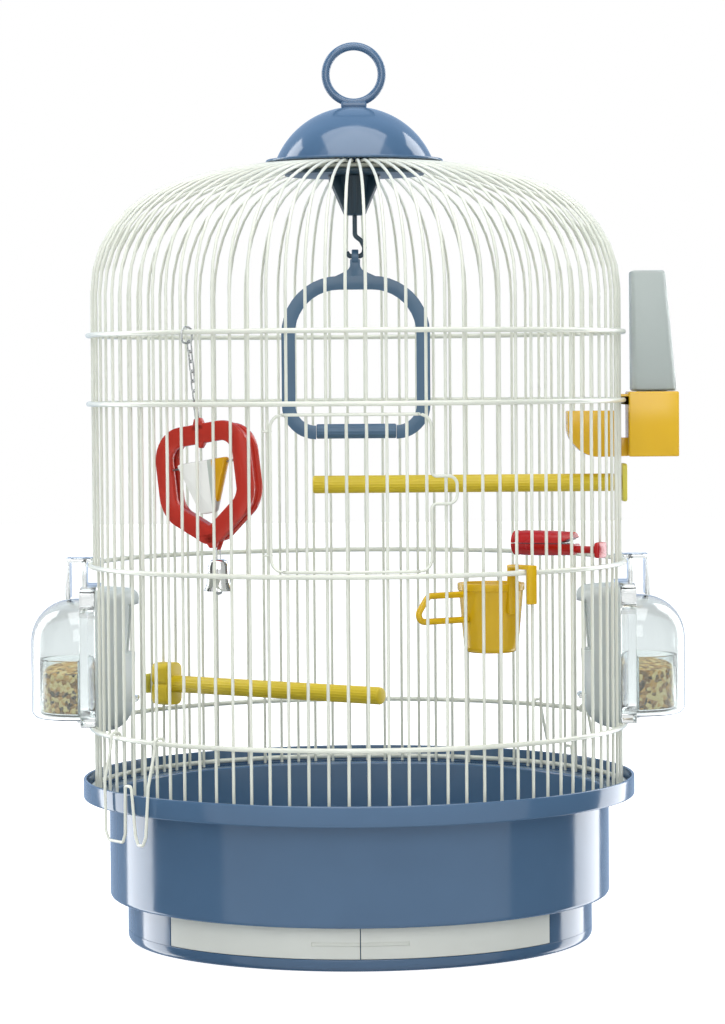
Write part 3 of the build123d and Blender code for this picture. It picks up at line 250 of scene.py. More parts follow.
def plastic(name, colour, deep, roughness, haze=0.0):
    """Moulded plastic from two hex colours."""
    return moulded(name, linear(colour), linear(deep), roughness, haze=haze)


def own_colour(group):
    """The colour that a group's settings hold, with its alpha."""
    return (*getattr(bpy.context.scene, group).colour, 1.0)


# Shape helpers: outlines are flat faces, and operators round, raise, spin and cut them

def flat(points, rounding=0.0, segments=4):
    """One flat face in the XZ plane; each corner is rounded by one distance or by its own."""
    form = bmesh.new()
    corners = [form.verts.new((x, 0, z)) for x, z in points]
    form.faces.new(corners)
    sizes = rounding if isinstance(rounding, (list, tuple)) else [rounding] * len(points)
    for size in sorted(set(sizes) - {0}):
        chosen = [corner for corner, own in zip(corners, sizes) if own == size]
        bmesh.ops.bevel(form, geom=chosen, offset=size, offset_type="OFFSET", segments=segments, profile=0.5,
                        affect="VERTICES", material=-1)
    return form


def everything(form):
    """All of the form's points, edges and faces."""
    return form.verts[:] + form.edges[:] + form.faces[:]


def grown(form, move):
    """Extrude all faces by a move; gives the far side's points."""
    extruded = bmesh.ops.extrude_face_region(form, geom=form.faces[:])["geom"]
    far = [v for v in extruded if isinstance(v, bmesh.types.BMVert)]
    bmesh.ops.translate(form, verts=far, vec=move)
    bmesh.ops.recalc_face_normals(form, faces=form.faces)
    return far


def raised(form, depth):
    """The flat face as a solid, with half of its depth on each side of Y = 0."""
    grown(form, (0, depth, 0))
    return moved(form, shift(0, -depth / 2, 0))


def soften(form, width, segments=2, least_turn=35):
    """Round every edge that turns more than an angle."""
    edges = [e for e in form.edges if len(e.link_faces) == 2 and e.calc_face_angle() > radians(least_turn)]
    bmesh.ops.bevel(form, geom=edges, offset=width, offset_type="OFFSET", segments=segments, profile=0.5,
                    affect="EDGES", material=-1, clamp_overlap=True)
    return form


def moved(form, *matrices):
    """The form after each matrix in turn."""
    for matrix in matrices:
        bmesh.ops.transform(form, matrix=matrix, verts=form.verts)
    return form


def shift(x, y, z):
    """A move, in the units of what it moves."""
    return Matrix.Translation((x, y, z))


def turn(angle, axis):
    """A turn in degrees about an axis through the origin."""
    return Matrix.Rotation(radians(angle), 4, axis)


# Points nearer than these are one point: in a mesh, and along a wire
CLOSE, SAME_POINT = 0.0005, 0.05
FACE_X = turn(90, "Z")
FACE_Z = turn(-90, "X")


def prism(points, depth, rounding=0.0, edge=0.0, face=None, segments=4):
    """A plate through an outline. face turns it to look along X (outline in Y and Z) or Z."""
    form = raised(flat(points, rounding, segments), depth)
    if edge:
        soften(form, edge)
    return moved(form, face) if face else form


def block(low, high, edge=0.5):
    """A box between two corners with softened edges."""
    points = [(low[0], low[2]), (high[0], low[2]), (high[0], high[2]), (low[0], high[2])]
    return moved(prism(points, high[1] - low[1], edge=edge), shift(0, (low[1] + high[1]) / 2, 0))


def rectangle(half_width, low, high):
    """The corners of an upright rectangle."""
    return [(-half_width, low), (half_width, low), (half_width, high), (-half_width, high)]


def band(path, width):
    """Outline of a strip that follows a path, mitred at its bends."""
    points = [Vector(p) for p in path]
    sides = ([], [])
    for i, here in enumerate(points):
        before = (here - points[i - 1]).normalized() if i else None
        after = (points[i + 1] - here).normalized() if i + 1 < len(points) else None
        before, after = before or after, after or before
        across = Vector((-before.y - after.y, before.x + after.x))
        across *= width / (2 + 2 * before.dot(after))
        sides[0].append(tuple(here + across))
        sides[1].append(tuple(here - across))
    return sides[0] + sides[1][::-1]


def swept(form, steps, sweep=360):
    """Spin the form about the upright axis, and close the seam of a whole turn."""
    bmesh.ops.spin(form, geom=everything(form), cent=(0, 0, 0), axis=(0, 0, 1), dvec=(0, 0, 0),
                   angle=radians(sweep), steps=steps, use_merge=sweep == 360, use_duplicate=False)
    bmesh.ops.remove_doubles(form, verts=form.verts, dist=CLOSE)


def spun(points, rounding=0.0, sweep=360, steps=96, segments=4, axis="Z", start=0.0):
    """A solid spun about the upright axis from a closed profile of radius and height."""
    form = flat(points, rounding, segments)
    if sweep == 360:
        bmesh.ops.delete(form, geom=form.faces[:], context="FACES_ONLY")
        along_axis = [e for e in form.edges if all(abs(v.co.x) < CLOSE for v in e.verts)]
        bmesh.ops.delete(form, geom=along_axis, context="EDGES")
    if start:
        moved(form, turn(start, "Z"))
    swept(form, steps, sweep)
    bmesh.ops.recalc_face_normals(form, faces=form.faces)
    if axis == "X":
        moved(form, turn(90, "Y"))
    return form


def torus(radius, width, steps=128, sides=12):
    """A closed round wire in the XY plane."""
    form = bmesh.new()
    bmesh.ops.create_circle(form, cap_ends=False, segments=sides, radius=width / 2)
    moved(form, turn(90, "X"), shift(radius, 0, 0))
    swept(form, steps)
    bmesh.ops.recalc_face_normals(form, faces=form.faces)
    return form


def scored(form, point, normal, clear=False):
    """Cut all faces along a plane. clear takes away what lies beyond it."""
    return bmesh.ops.bisect_plane(form, geom=everything(form), dist=CLOSE / 5, plane_co=point,
                                  plane_no=normal, clear_outer=clear)["geom_cut"]


def trimmed(form, point, normal, close=True):
    """What lies behind a plane, closed again along the cut."""
    edges = [e for e in scored(form, point, normal, True) if isinstance(e, bmesh.types.BMEdge)]
    if close:
        bmesh.ops.holes_fill(form, edges=edges, sides=0)
        bmesh.ops.recalc_face_normals(form, faces=form.faces)
    return form


def flat_ring(outer, inner, outer_round, inner_round, segments):
    """A flat face with a window, from two outlines with as many corners."""
    form = joined(flat(outer, outer_round, segments), flat(inner, inner_round, segments))
    bmesh.ops.delete(form, geom=form.faces[:], context="FACES_ONLY")
    bmesh.ops.bridge_loops(form, edges=form.edges[:])
    return form


def framed(outer, inner, depth, outer_round, inner_round, edge=0.0, segments=4, face=None):
    """A plate with a window."""
    form = raised(flat_ring(outer, inner, outer_round, inner_round, segments), depth)
    if edge:
        soften(form, edge, least_turn=60)
    return moved(form, face) if face else form


def joined(*forms):
    """Several forms as one."""
    whole = bmesh.new()
    for form in forms:
        part = bpy.data.meshes.new("part")
        form.to_mesh(part)
        form.free()
        whole.from_mesh(part)
        bpy.data.meshes.remove(part)
    return whole


def hollowed(form, wall, floor_z):
    """Push the top face in by a wall and down to a floor."""
    top = max(form.faces, key=lambda face: face.calc_center_median().z)
    height = top.calc_center_median().z
    bmesh.ops.inset_region(form, faces=[top], thickness=wall, use_even_offset=True)
    extruded = bmesh.ops.extrude_face_region(form, geom=[top])["geom"]
    if top.is_valid:
        bmesh.ops.delete(form, geom=[top], context="FACES_ONLY")
    verts = [v for v in extruded if isinstance(v, bmesh.types.BMVert)]
    bmesh.ops.translate(form, verts=verts, vec=(0, 0, floor_z - height))
    return form


def fluted_rod(radius, length, flutes, depth, tip):
    """A rod along +X with shallow lengthwise flutes and a softened tip."""
    form = bmesh.new()
    bmesh.ops.create_circle(form, cap_ends=True, segments=2 * flutes, radius=radius)
    hollows = [v for i, v in enumerate(form.verts) if i % 2]
    bmesh.ops.scale(form, verts=hollows, vec=(1 - depth / radius, 1 - depth / radius, 1))
    grown(form, (0, 0, length))
    soften(form, tip, 3, 60)
    return moved(form, turn(90, "Y"))


def at_wall(azimuth):
    """The turn from a piece drawn with +X outward and +Y to the right to its place on the wall."""
    return turn(azimuth - 90, "Z")


def wires(name, runs, width, place=None, closed=False, resolution=6, sides=2):
    """Round wires as one curve. A run is a list of points, each with the radius of its bend."""
    curve = bpy.data.curves.new(name, "CURVE")
    curve.dimensions = "3D"
    curve.bevel_depth = width / 2 * MM
    curve.bevel_resolution = sides
    curve.resolution_u = resolution
    curve.use_fill_caps = True
    seat = Matrix.Scale(MM, 4) @ (place or Matrix.Identity(4))
    for run in runs:
        knots = []
        count = len(run)
        for i, (x, y, z, bend) in enumerate(run):
            here = Vector((x, y, z))
            if not closed and i in (0, count - 1) or not bend:
                if not knots or (here - knots[-1][1]).length > SAME_POINT:
                    knots.append((here, here, here))
                continue
            back = (Vector(run[i - 1][:3]) - here).normalized()
            ahead = (Vector(run[(i + 1) % count][:3]) - here).normalized()
            bending = pi - back.angle(ahead)
            cut = bend * tan(bending / 2)
            reach = bend * 4 / 3 * tan(bending / 4)
            start, end = here + back * cut, here + ahead * cut
            if knots and (start - knots[-1][1]).length < SAME_POINT:
                knots[-1] = (knots[-1][0], start, start - back * reach)
            else:
                knots.append((start, start, start - back * reach))
            knots.append((end - ahead * reach, end, end))
        spline = curve.splines.new("BEZIER")
        spline.bezier_points.add(len(knots) - 1)
        spline.use_cyclic_u = closed
        for point, (left, centre, right) in zip(spline.bezier_points, knots):
            point.handle_left_type = point.handle_right_type = "FREE"
            point.co, point.handle_left, point.handle_right = seat @ centre, seat @ left, seat @ right
    return curve


def settle(form, name, finish, body, nodes=(), place=None, sharp=35):
    """Make a finished piece: in its place, smooth-shaded, riding on its body and standing for its nodes."""
    if isinstance(form, bmesh.types.BMesh):
        moved(form, place or Matrix.Identity(4), Matrix.Scale(MM, 4))
        bmesh.ops.recalc_face_normals(form, faces=form.faces)
        data = bpy.data.meshes.new(name)
        form.to_mesh(data)
        form.free()
        data.shade_smooth()
        data.set_sharp_from_angle(angle=radians(sharp))
    else:
        data = form
    for key in (finish if isinstance(finish, tuple) else (finish,)):
        data.materials.append(material(key))
    piece = bpy.data.objects.new(name, data)
    bpy.context.scene.collection.objects.link(piece)
    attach(piece, body)
    if nodes:
        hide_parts(*nodes)
    return piece


def walled(piece, thickness):
    """Give a piece made as one skin its wall, inwards."""
    wall = piece.modifiers.new("Wall", "SOLIDIFY")
    wall.thickness = thickness * MM
    wall.offset = -1


# Places on the wall that several pieces share
BARS = 88
PITCH = 360 / BARS
BAR_R = 154.8
RING_Z = {"ring_1": 355.0, "ring_2": 315.0, "ring_3": 220.3, "ring_4": 125.2, "ring_5": 89.0}
RING_R = 157.35
HALF_RING = 1.45
HOOK_PLAY = 0.3
BAR_FOOT_Z = 86.3
SIDES = {"right": 90, "left": -90}
DOOR_R = 157.0
DOOR_AZ = (-17.5, 15.1)
FEEDER_X = 162.2
TOY_AZ = -9 * PITCH


def over_ring(ring, thickness):
    """Height of the middle line of a strap that hangs over a ring."""
    return RING_Z[ring] + HALF_RING + HOOK_PLAY + thickness / 2


def length_setting(name, description, default, low, high):
    """A length setting, given in millimetres."""
    return FloatProperty(name=name, description=description, default=default * MM, min=low * MM,
                         max=high * MM, subtype="DISTANCE", unit="LENGTH")


def colour_setting(name, description, colour):
    """A colour setting, given as hex."""
    return FloatVectorProperty(name=name, description=description, size=3, min=0, max=1,
                               default=linear(colour)[:3], subtype="COLOR")


def power_setting(name, description, default):
    """A lamp's power setting, in watts."""
    return FloatProperty(name=name, description=description, default=default, min=0, unit="POWER")


class CageWireSettings(bpy.types.PropertyGroup):
    """Sizes and colour of the cage's wires."""
    bar: length_setting("Bar Wire", "Thickness of the upright wires", 1.8, 0.5, 4)
    ring: length_setting("Ring Wire", "Thickness of the five wall rings", 2.9, 1, 6)
    shoulder: length_setting("Shoulder Radius", "Bend of each bar above the wall", 65, 30, 80)
    colour: colour_setting("Coating", "Colour of the epoxy coating", "#E6E8DC")


class CageTraySettings(bpy.types.PropertyGroup):
    """Finish and edges of the tray."""
    colour: colour_setting("Blue", "Colour of the tray and the cap", "#4E6B8A")
    edge: length_setting("Lower Edge", "Rounding of the tray wall's lower edge", 2.4, 0.2, 5)
    steps: IntProperty(name="Steps Round", description="Faces round the tray", default=192, min=48, max=360)


class CagePerchSettings(bpy.types.PropertyGroup):
    """Finish and flutes of the perches."""
    colour: colour_setting("Yellow", "Colour of the perches", "#D8C526")
    flutes: IntProperty(name="Flutes", description="Lengthwise flutes round each rod", default=20, min=6,
                        max=60)
    depth: length_setting("Flute Depth", "How deep the flutes are", 0.25, 0, 1)


class CageFittingSettings(bpy.types.PropertyGroup):
    """Small sizes of the feeders, the egg-food cup and the cap."""
    cover_round: length_setting("Cover Shoulder", "Rounding of the feeder covers' upper corner", 25, 5, 28)
    cover_wall: length_setting("Cover Wall", "Wall of the feeder covers", 1.5, 0.6, 3)
    cup_edge: length_setting("Egg Cup Edge", "Rounding under the egg-food cup", 3.4, 0.5, 6)
    dome_steps: IntProperty(name="Dome Steps", description="Faces round the dome", default=128, min=24,
                            max=256)


class CageStageSettings(bpy.types.PropertyGroup):
    """Light and camera."""
    top: power_setting("Top Softbox", "Power of the softbox overhead", 34.0)
    side: power_setting("Side Softboxes", "Power of each tall softbox at the back", 18.0)
    front: power_setting("Front Softbox", "Power of the fill behind the camera", 30.0)
    lens: FloatProperty(name="Lens", description="Focal length of the camera", default=123.1, min=20,
                        subtype="DISTANCE_CAMERA", unit="CAMERA")


class CAGE_OT_bars(bpy.types.Operator):
    """Bend the 88 upright wires and leave the door and feeder openings"""
    bl_idname = "cage.bars"
    bl_label = "Bars"

    def execute(self, context):
        wire = context.scene.cage_wires
        bend = wire.shoulder / MM
        crown, shoulder_turn, shoulder_z = 221.0, radians(70), 380.0
        end_x, end_z = bend_end(bend, crown, shoulder_turn, shoulder_z)
        corner_z = shoulder_z + bend * tan(shoulder_turn / 2)
        corner_x = end_x + crown * tan((pi / 2 - shoulder_turn) / 2)
        sides = {"front": [], "right": [], "back": [], "left": []}
        for i in range(BARS):
            azimuth = (i + 0.5) * PITCH - 45
            azimuth -= 360 if azimuth > 180 else 0
            gap = bar_gap(azimuth)
            runs = [[(BAR_R, gap[1] if gap else BAR_FOOT_Z, 0), (BAR_R, corner_z, bend),
                     (corner_x, end_z, crown), (end_x, end_z, 0)]]
            if gap:
                runs.append([(BAR_R, BAR_FOOT_Z, 0), (BAR_R, gap[0], 0)])
            out = at_wall(azimuth) @ Vector((1, 0, 0))
            sides[list(sides)[i * 4 // BARS]] += [
                [(out.x * r, out.y * r, z, radius) for r, z, radius in run] for run in runs]
        for side, runs in sides.items():
            curve = wires(f"{side}_wires", runs, wire.bar / MM)
            settle(curve, f"{side}_wires", "wire", "cage", [f"bars_{side}"])
        return {"FINISHED"}


def bend_end(bend, crown, shoulder_turn, shoulder_z):
    """Where a bar ends under the cap: its radius and height."""
    centre_x = BAR_R - bend - (crown - bend) * cos(shoulder_turn)
    centre_z = shoulder_z - (crown - bend) * sin(shoulder_turn)
    return centre_x, centre_z + crown


def bar_gap(azimuth):
    """The stretch of height that the bar at this azimuth leaves open, if any."""
    if DOOR_AZ[0] < azimuth < DOOR_AZ[1] - 1.5:
        low, high = "ring_3", "ring_2"
    elif min(abs(azimuth - 90), abs(azimuth + 90)) < 3 * PITCH:
        low, high = "ring_4", "ring_3"
    else:
        return None
    return RING_Z[low] + HALF_RING, RING_Z[high] - HALF_RING


class CAGE_OT_rings(bpy.types.Operator):
    """Lay the five wall rings and the small ring under the cap"""
    bl_idname = "cage.rings"
    bl_label = "Rings"

    def execute(self, context):
        width = context.scene.cage_wires.ring / MM
        for node, z in RING_Z.items():
            form = moved(torus(RING_R - 0.1, width, 176), shift(0, 0, z))
            settle(form, f"wall_{node}", "wire", "cage", [node])
        form = moved(torus(36.445, width, 96), shift(0, 0, 451.858))
        settle(form, "collar_ring", "wire", "cage", ["top_ring"])
        return {"FINISHED"}


class CAGE_OT_door(bpy.types.Operator):
    """Bend the curved front door, its latch loop, bars and hinge loops"""
    bl_idname = "cage.door"
    bl_label = "Front Door"

    def execute(self, context):
        width = context.scene.cage_wires.bar / MM
        left, right = (DOOR_R * sin(radians(a)) for a in DOOR_AZ)
        latch = DOOR_R * sin(radians(20.5))
        low, high, latch_low, latch_high = 223.0, 309.0, 259.8, 275.0
        corner, latch_bend, latch_root, curve_bend = 7.0, 5.0, 3.0, 150.0
        count, margin = 6, 12.0
        across = [left + margin + (right - left - 2 * margin) * i / count for i in range(count + 1)]
        path = [(left, high, corner)] + [(x, high, curve_bend) for x in across] + [(right, high, corner)]
        path += [(right, latch_high, latch_root), (latch, latch_high, latch_bend)]
        path += [(latch, latch_low, latch_bend), (right, latch_low, latch_root), (right, low, corner)]
        path += [(x, low, curve_bend) for x in reversed(across)] + [(left, low, corner)]
        run = [(x, -(DOOR_R**2 - x**2)**0.5, z, bend) for x, z, bend in path]
        frame_wire = wires("door_wire", [run], width, closed=True)
        settle(frame_wire, "door_wire", "wire", "door", ["door_frame"])
        hinge = at_wall(-18.409) @ Vector((BAR_R, 0, 0))
        loops = [moved(torus(2.1, 1.2, 24, 8), shift(hinge.x, hinge.y, z)) for z in (232.0, 300.0)]
        settle(joined(*loops), "door_hinge_loops", "wire", "door")
        runs = []
        for i in range(7):
            place = at_wall(-14.318 + i * PITCH) @ Vector((155.0, 0, 0))
            runs.append([(place.x, place.y, 222.3, 0), (place.x, place.y, 309.7, 0)])
        bars = wires("door_bar_wires", runs, width, resolution=1)
        settle(bars, "door_bar_wires", "wire", "door", ["door_bars"])
        return {"FINISHED"}


class CAGE_OT_clips(bpy.types.Operator):
    """Bend the two wire clips that hang on the fourth ring and grip the rim"""
    bl_idname = "cage.clips"
    bl_label = "Wire Clips"

    def execute(self, context):
        ring_x, reach, hook_y, rim_x = 156.15, 3.05, 22.39, 163.9
        z, fold, low = RING_Z["ring_4"], 101.3, 67.9
        hook = [(ring_x - reach, z - reach / 2, 0), (ring_x - reach, z + reach, 2.2),
                (ring_x + reach, z + reach, 2.2), (ring_x + reach, z - reach, 4.0), (rim_x, fold, 4.0)]
        loops = [(-21.4, 72.5, 2.0), (-18.4, low, 2.2), (-4.0, low, 2.2), (-1.5, 73, 2.0),
                 (-1.0, fold - 1, 2.2), (5.0, fold - 1, 2.2), (9.0, 73, 2.0), (11.5, low, 2.0),
                 (16.5, low, 2.0), (19.5, 73, 2.0)]
        run = [(x, -hook_y, height, bend) for x, height, bend in hook]
        run += [(rim_x, y, height, bend) for y, height, bend in loops]
        run += [(x, hook_y, height, bend) for x, height, bend in reversed(hook)]
        for side, azimuth in (("left", -13 * PITCH), ("right", -13 * PITCH + 180)):
            curve = wires(f"{side}_clip_wire", [run], 1.8, at_wall(azimuth))
            settle(curve, f"{side}_clip_wire", "wire", f"clip_{side}", [f"clip_{side}"])
        return {"FINISHED"}


class CAGE_OT_tray(bpy.types.Operator):
    """Turn the tray's shell, plinth, floor, divider and runners"""
    bl_idname = "cage.tray"
    bl_label = "Tray"

    def execute(self, context):
        tray = context.scene.cage_tray
        edge = tray.edge / MM
        shell = [(134.5, 25.6), (147.3, 25.6), (147.3, 83.6), (162.5, 83.6), (162.5, 95.3), (160.7, 95.3),
                 (160.7, 86.0), (144.8, 86.0), (144.8, 28.1), (134.5, 28.1)]
        parts = [spun(shell, [0, edge, 0.6, 1.2, 0.8, 0.7, 1.0, 1.2, 2.0, 0], steps=tray.steps)]
        window = degrees(asin(108.0 / 137.0))
        plinth = [(134.5, 7.0), (137.0, 7.0), (137.0, 25.6), (134.5, 25.6)]
        sweep = 360 - 2 * window
        parts.append(spun(plinth, 0, sweep, int(tray.steps * sweep / 360), start=window - 90))
        floor = [(0, 0), (137.0, 0), (137.0, 7.0), (134.5, 7.0), (134.5, 2.5), (0, 2.5)]
        parts.append(spun(floor, [0, 3.2, 0.6, 0.4, 0.5, 0], steps=tray.steps))
        parts.append(block((-1.2, -134.2, 2.5), (1.2, 134.3, 25.2), 0.3))
        for x in (-90, -20, 20, 90):
            front = 2 - (134.5**2 - (abs(x) + 3)**2)**0.5
            parts.append(block((x - 1.5, front, 2.5), (x + 1.5, 78, 6.9), 0.3))
        settle(joined(*parts), "tray", "tray", "base", ["base_tray"])
        return {"FINISHED"}


class CAGE_OT_drawers(bpy.types.Operator):
    """Make the two half-moon drawers with their curved fronts and finger grips"""
    bl_idname = "cage.drawers"
    bl_label = "Drawers"

    def execute(self, context):
        low, high, front, inner = 7.2, 25.3, 137.0, 134.8
        near, far, back, wall = 1.7, 107.5, 78.0, 1.6
        grip_low, grip_high = 14.5, 16.5
        outline = [(inner, low), (front, low), (front, high), (inner, high)]
        grooved = outline[:2] + [(front, grip_low), (front - 1, grip_low), (front - 1, grip_high),
                                 (front, grip_high)] + outline[2:]
        first, grip_end, last = (degrees(asin(x / front)) for x in (0.3, 27.3, far))
        for side, flip in (("right", 1), ("left", -1)):
            tub = bmesh.new()
            bmesh.ops.create_circle(tub, cap_ends=True, segments=240, radius=inner)
            for point, normal in (((near, 0, 0), (-1, 0, 0)), ((far, 0, 0), (1, 0, 0)),
                                  ((0, back, 0), (0, 1, 0))):
                trimmed(tub, point, normal, close=False)
            grown(tub, (0, 0, high - low))
            moved(tub, shift(0, 0, low))
            hollowed(tub, wall, low + wall)
            gripped = spun(grooved, [0, 0.5, 0.3, 0.3, 0.3, 0.3, 0.6, 0], grip_end - first, 18,
                           start=first - 90)
            plain = spun(outline, [0, 0.5, 0.6, 0], last - grip_end, 48, start=grip_end - 90)
            form = joined(tub, gripped, plain)
            if flip < 0:
                moved(form, Matrix.Scale(-1, 4, (1, 0, 0)))
            settle(form, f"{side}_drawer", "drawer", f"drawer_{side}", [f"drawer_{side}"])
        return {"FINISHED"}


class CAGE_OT_cap(bpy.types.Operator):
    """Turn the dome, the carry ring, the clamp disc and the finned nut"""
    bl_idname = "cage.cap"
    bl_label = "Cap and Carry Ring"

    def execute(self, context):
        steps = context.scene.cage_fittings.dome_steps
        flange_z, foot_z, top_z, dome_r = 455.508, 457.108, 488.108, 46.0
        height = top_z - foot_z
        bend = (dome_r**2 + height**2) / (2 * height)
        centre_z = top_z - bend
        half_turn = atan(dome_r / (foot_z - centre_z))
        dome = bmesh.new()
        start = dome.verts.new((0, 0, top_z))
        bmesh.ops.spin(dome, geom=[start], cent=(0, 0, centre_z), axis=(0, 1, 0), dvec=(0, 0, 0),
                       angle=half_turn, steps=24, use_merge=False, use_duplicate=False)
        swept(dome, steps)
        bmesh.ops.holes_fill(dome, edges=dome.edges[:], sides=0)
        flange_profile = [(30, flange_z), (52, flange_z), (52, foot_z), (30, foot_z)]
        flange = spun(flange_profile, [0, 0.7, 0.7, 0], steps=steps)
        settle(joined(dome, flange), "dome", "tray", "cage", ["cap_dome"])
        ring = moved(torus(16.45, 4.8, 72, 20), turn(90, "X"), shift(0, 0, 507.058))
        finial = block((-7.5, -3.9, top_z - 1), (7.5, 3.9, top_z + 3), 1.1)
        stem = spun([(0, 430.7), (4, 430.7), (4, top_z - 0.5), (0, top_z - 0.5)], [0, 0.5, 0, 0], steps=32)
        settle(joined(ring, finial, stem), "carry_ring_and_stem", "tray", "cage", ["carry_ring"])
        tip_z, nut_z, disc_z = 424.61, 447.61, 447.81
        disc = spun([(4.1, disc_z), (41, disc_z), (41, disc_z + 2.4), (4.1, disc_z + 2.4)], [0, 0.8, 0.8, 0])
        settle(disc, "clamp_plate", "petrol", "cage", ["clamp_disc"])
        fin = [(0, tip_z), (6.6, tip_z), (17, nut_z - 2), (17, nut_z), (0, nut_z)]
        core = [(4.1, tip_z), (6.2, tip_z), (10.5, nut_z), (4.1, nut_z)]
        parts = [spun(core, [0, 0.6, 0, 0], steps=48)]
        for i in range(6):
            parts.append(moved(prism(fin, 2.4, [0, 1.2, 1.5, 0.5, 0], edge=0.5), turn(30 + 60 * i, "Z")))
        settle(joined(*parts), "finned_nut", "petrol", "cage", ["cone_nut"])
        return {"FINISHED"}


class CAGE_OT_swing(bpy.types.Operator):
    """Make the swing: its hook, rounded frame, eye and ribbed perch"""
    bl_idname = "cage.swing"
    bl_label = "Swing"

    def execute(self, context):
        seat_z = 400.608
        bends = ((0, 424.5, 0), (0, seat_z + 12, 3), (3.6, seat_z + 9.2, 4), (5.6, seat_z + 5.2, 3),
                 (5.2, seat_z + 1.8, 2), (3.2, seat_z, 2), (-3.4, seat_z, 2), (-5, seat_z + 2.4, 0))
        hook = wires("swing_hook_wire", [[(x, 0, z, bend) for x, z, bend in bends]], 2.8, sides=4)
        settle(hook, "swing_hook_wire", "petrol", "cage", ["swing_hook"])
        half, low, high, arm, thick = 43.75, 293.1, 389.0, 8.0, 5.0
        outer = rectangle(half, low, high)
        inner = rectangle(half - arm, low + arm, high - arm)
        form = flat_ring(outer, inner, [20, 20, 34, 34], [12, 12, 26, 26], 10)
        socket_x = 23.7
        for x in (-socket_x, socket_x):
            scored(form, (x, 0, 0), (1, 0, 0))
        gone = [f for f in form.faces
                if abs(f.calc_center_median().x) < socket_x and f.calc_center_median().z < low + 2 * arm]
        bmesh.ops.delete(form, geom=gone, context="FACES")
        ring = soften(raised(form, thick), 0.9, 2, 60)
        peak = [(-17.5, 386.2), (-3, 393), (-3, 399), (3, 399), (3, 393), (17.5, 386.2), (0, 385)]
        stem = prism(peak, thick - 0.1, [0, 2.5, 0, 0, 2.5, 0, 1.5], edge=0.8)
        eye = spun([(2.3, -2), (4.3, -2), (4.3, 2), (2.3, 2)], 0.6, steps=32, axis="X")
        moved(eye, shift(0, 0, 400.26))
        settle(joined(ring, stem, eye), "swing_frame_moulding", "swing", "swing",
               ["swing_frame"])
        rod = moved(fluted_rod(4.6, 47.0, 14, 0.45, 0.8), shift(-23.5, 0, low + 4.6))
        settle(rod, "swing_rod", "swing", "swing", ["swing_perch"])
        return {"FINISHED"}


class CAGE_OT_perches(bpy.types.Operator):
    """Make the two fluted perches with their wall plates"""
    bl_idname = "cage.perches"
    bl_label = "Perches"

    def execute(self, context):
        settings = context.scene.cage_perches
        flutes, depth = settings.flutes, settings.depth / MM
        plate_x, upper_z, lower_z, radius = 156.1, 266.4, 142.0, 5.2
        rod = moved(fluted_rod(radius, 152.4 + 26, flutes, depth, 1.5), shift(-26, 0, 0))
        neck = block((151.4, -3, -4), (plate_x + 0.1, 3, 4), 0.4)
        settle(joined(rod, neck), "long_perch", "perch", "cage", ["upper_perch"],
               at_wall(90) @ shift(0, 0, upper_z))
        plate = prism(rectangle(10, -11.15, 11.15), 2.8, 3.0, 0.9, FACE_X)
        settle(plate, "long_perch_plate", "plate", "cage", ["upper_perch_plate"],
               at_wall(90) @ shift(plate_x + 1.4, 0, upper_z))
        azimuth, inner, outer = -31 * PITCH, 141.5, 153.5
        rod = moved(fluted_rod(radius, inner + 17.5, flutes, depth, 1.5), shift(-17, 0, 0))
        lobes = [(-7.5, -13), (7.5, -13), (7.5, -1.5), (6.3, 0), (7.5, 1.5), (7.5, 13), (-7.5, 13),
                 (-7.5, 1.5), (-6.3, 0), (-7.5, -1.5)]
        clamp = prism(lobes, outer - inner, [4, 4, 0.8, 0.5, 0.8, 4, 4, 0.8, 0.5, 0.8], 0.9, FACE_X)
        moved(clamp, shift((inner + outer) / 2, 0, 0))
        neck = block((152.5, -3, -4), (plate_x + 0.1, 3, 4), 0.4)
        settle(joined(rod, clamp, neck), "short_perch", "perch", "cage", ["lower_perch"],
               at_wall(azimuth) @ shift(0, 0, lower_z))
        plate = prism(rectangle(10, -6, 6), 2.8, 3.0, 0.9, FACE_X)
        settle(plate, "short_perch_plate", "plate", "cage", ["lower_perch_plate"],
               at_wall(azimuth) @ shift(plate_x + 1.4, 0, lower_z))
        return {"FINISHED"}


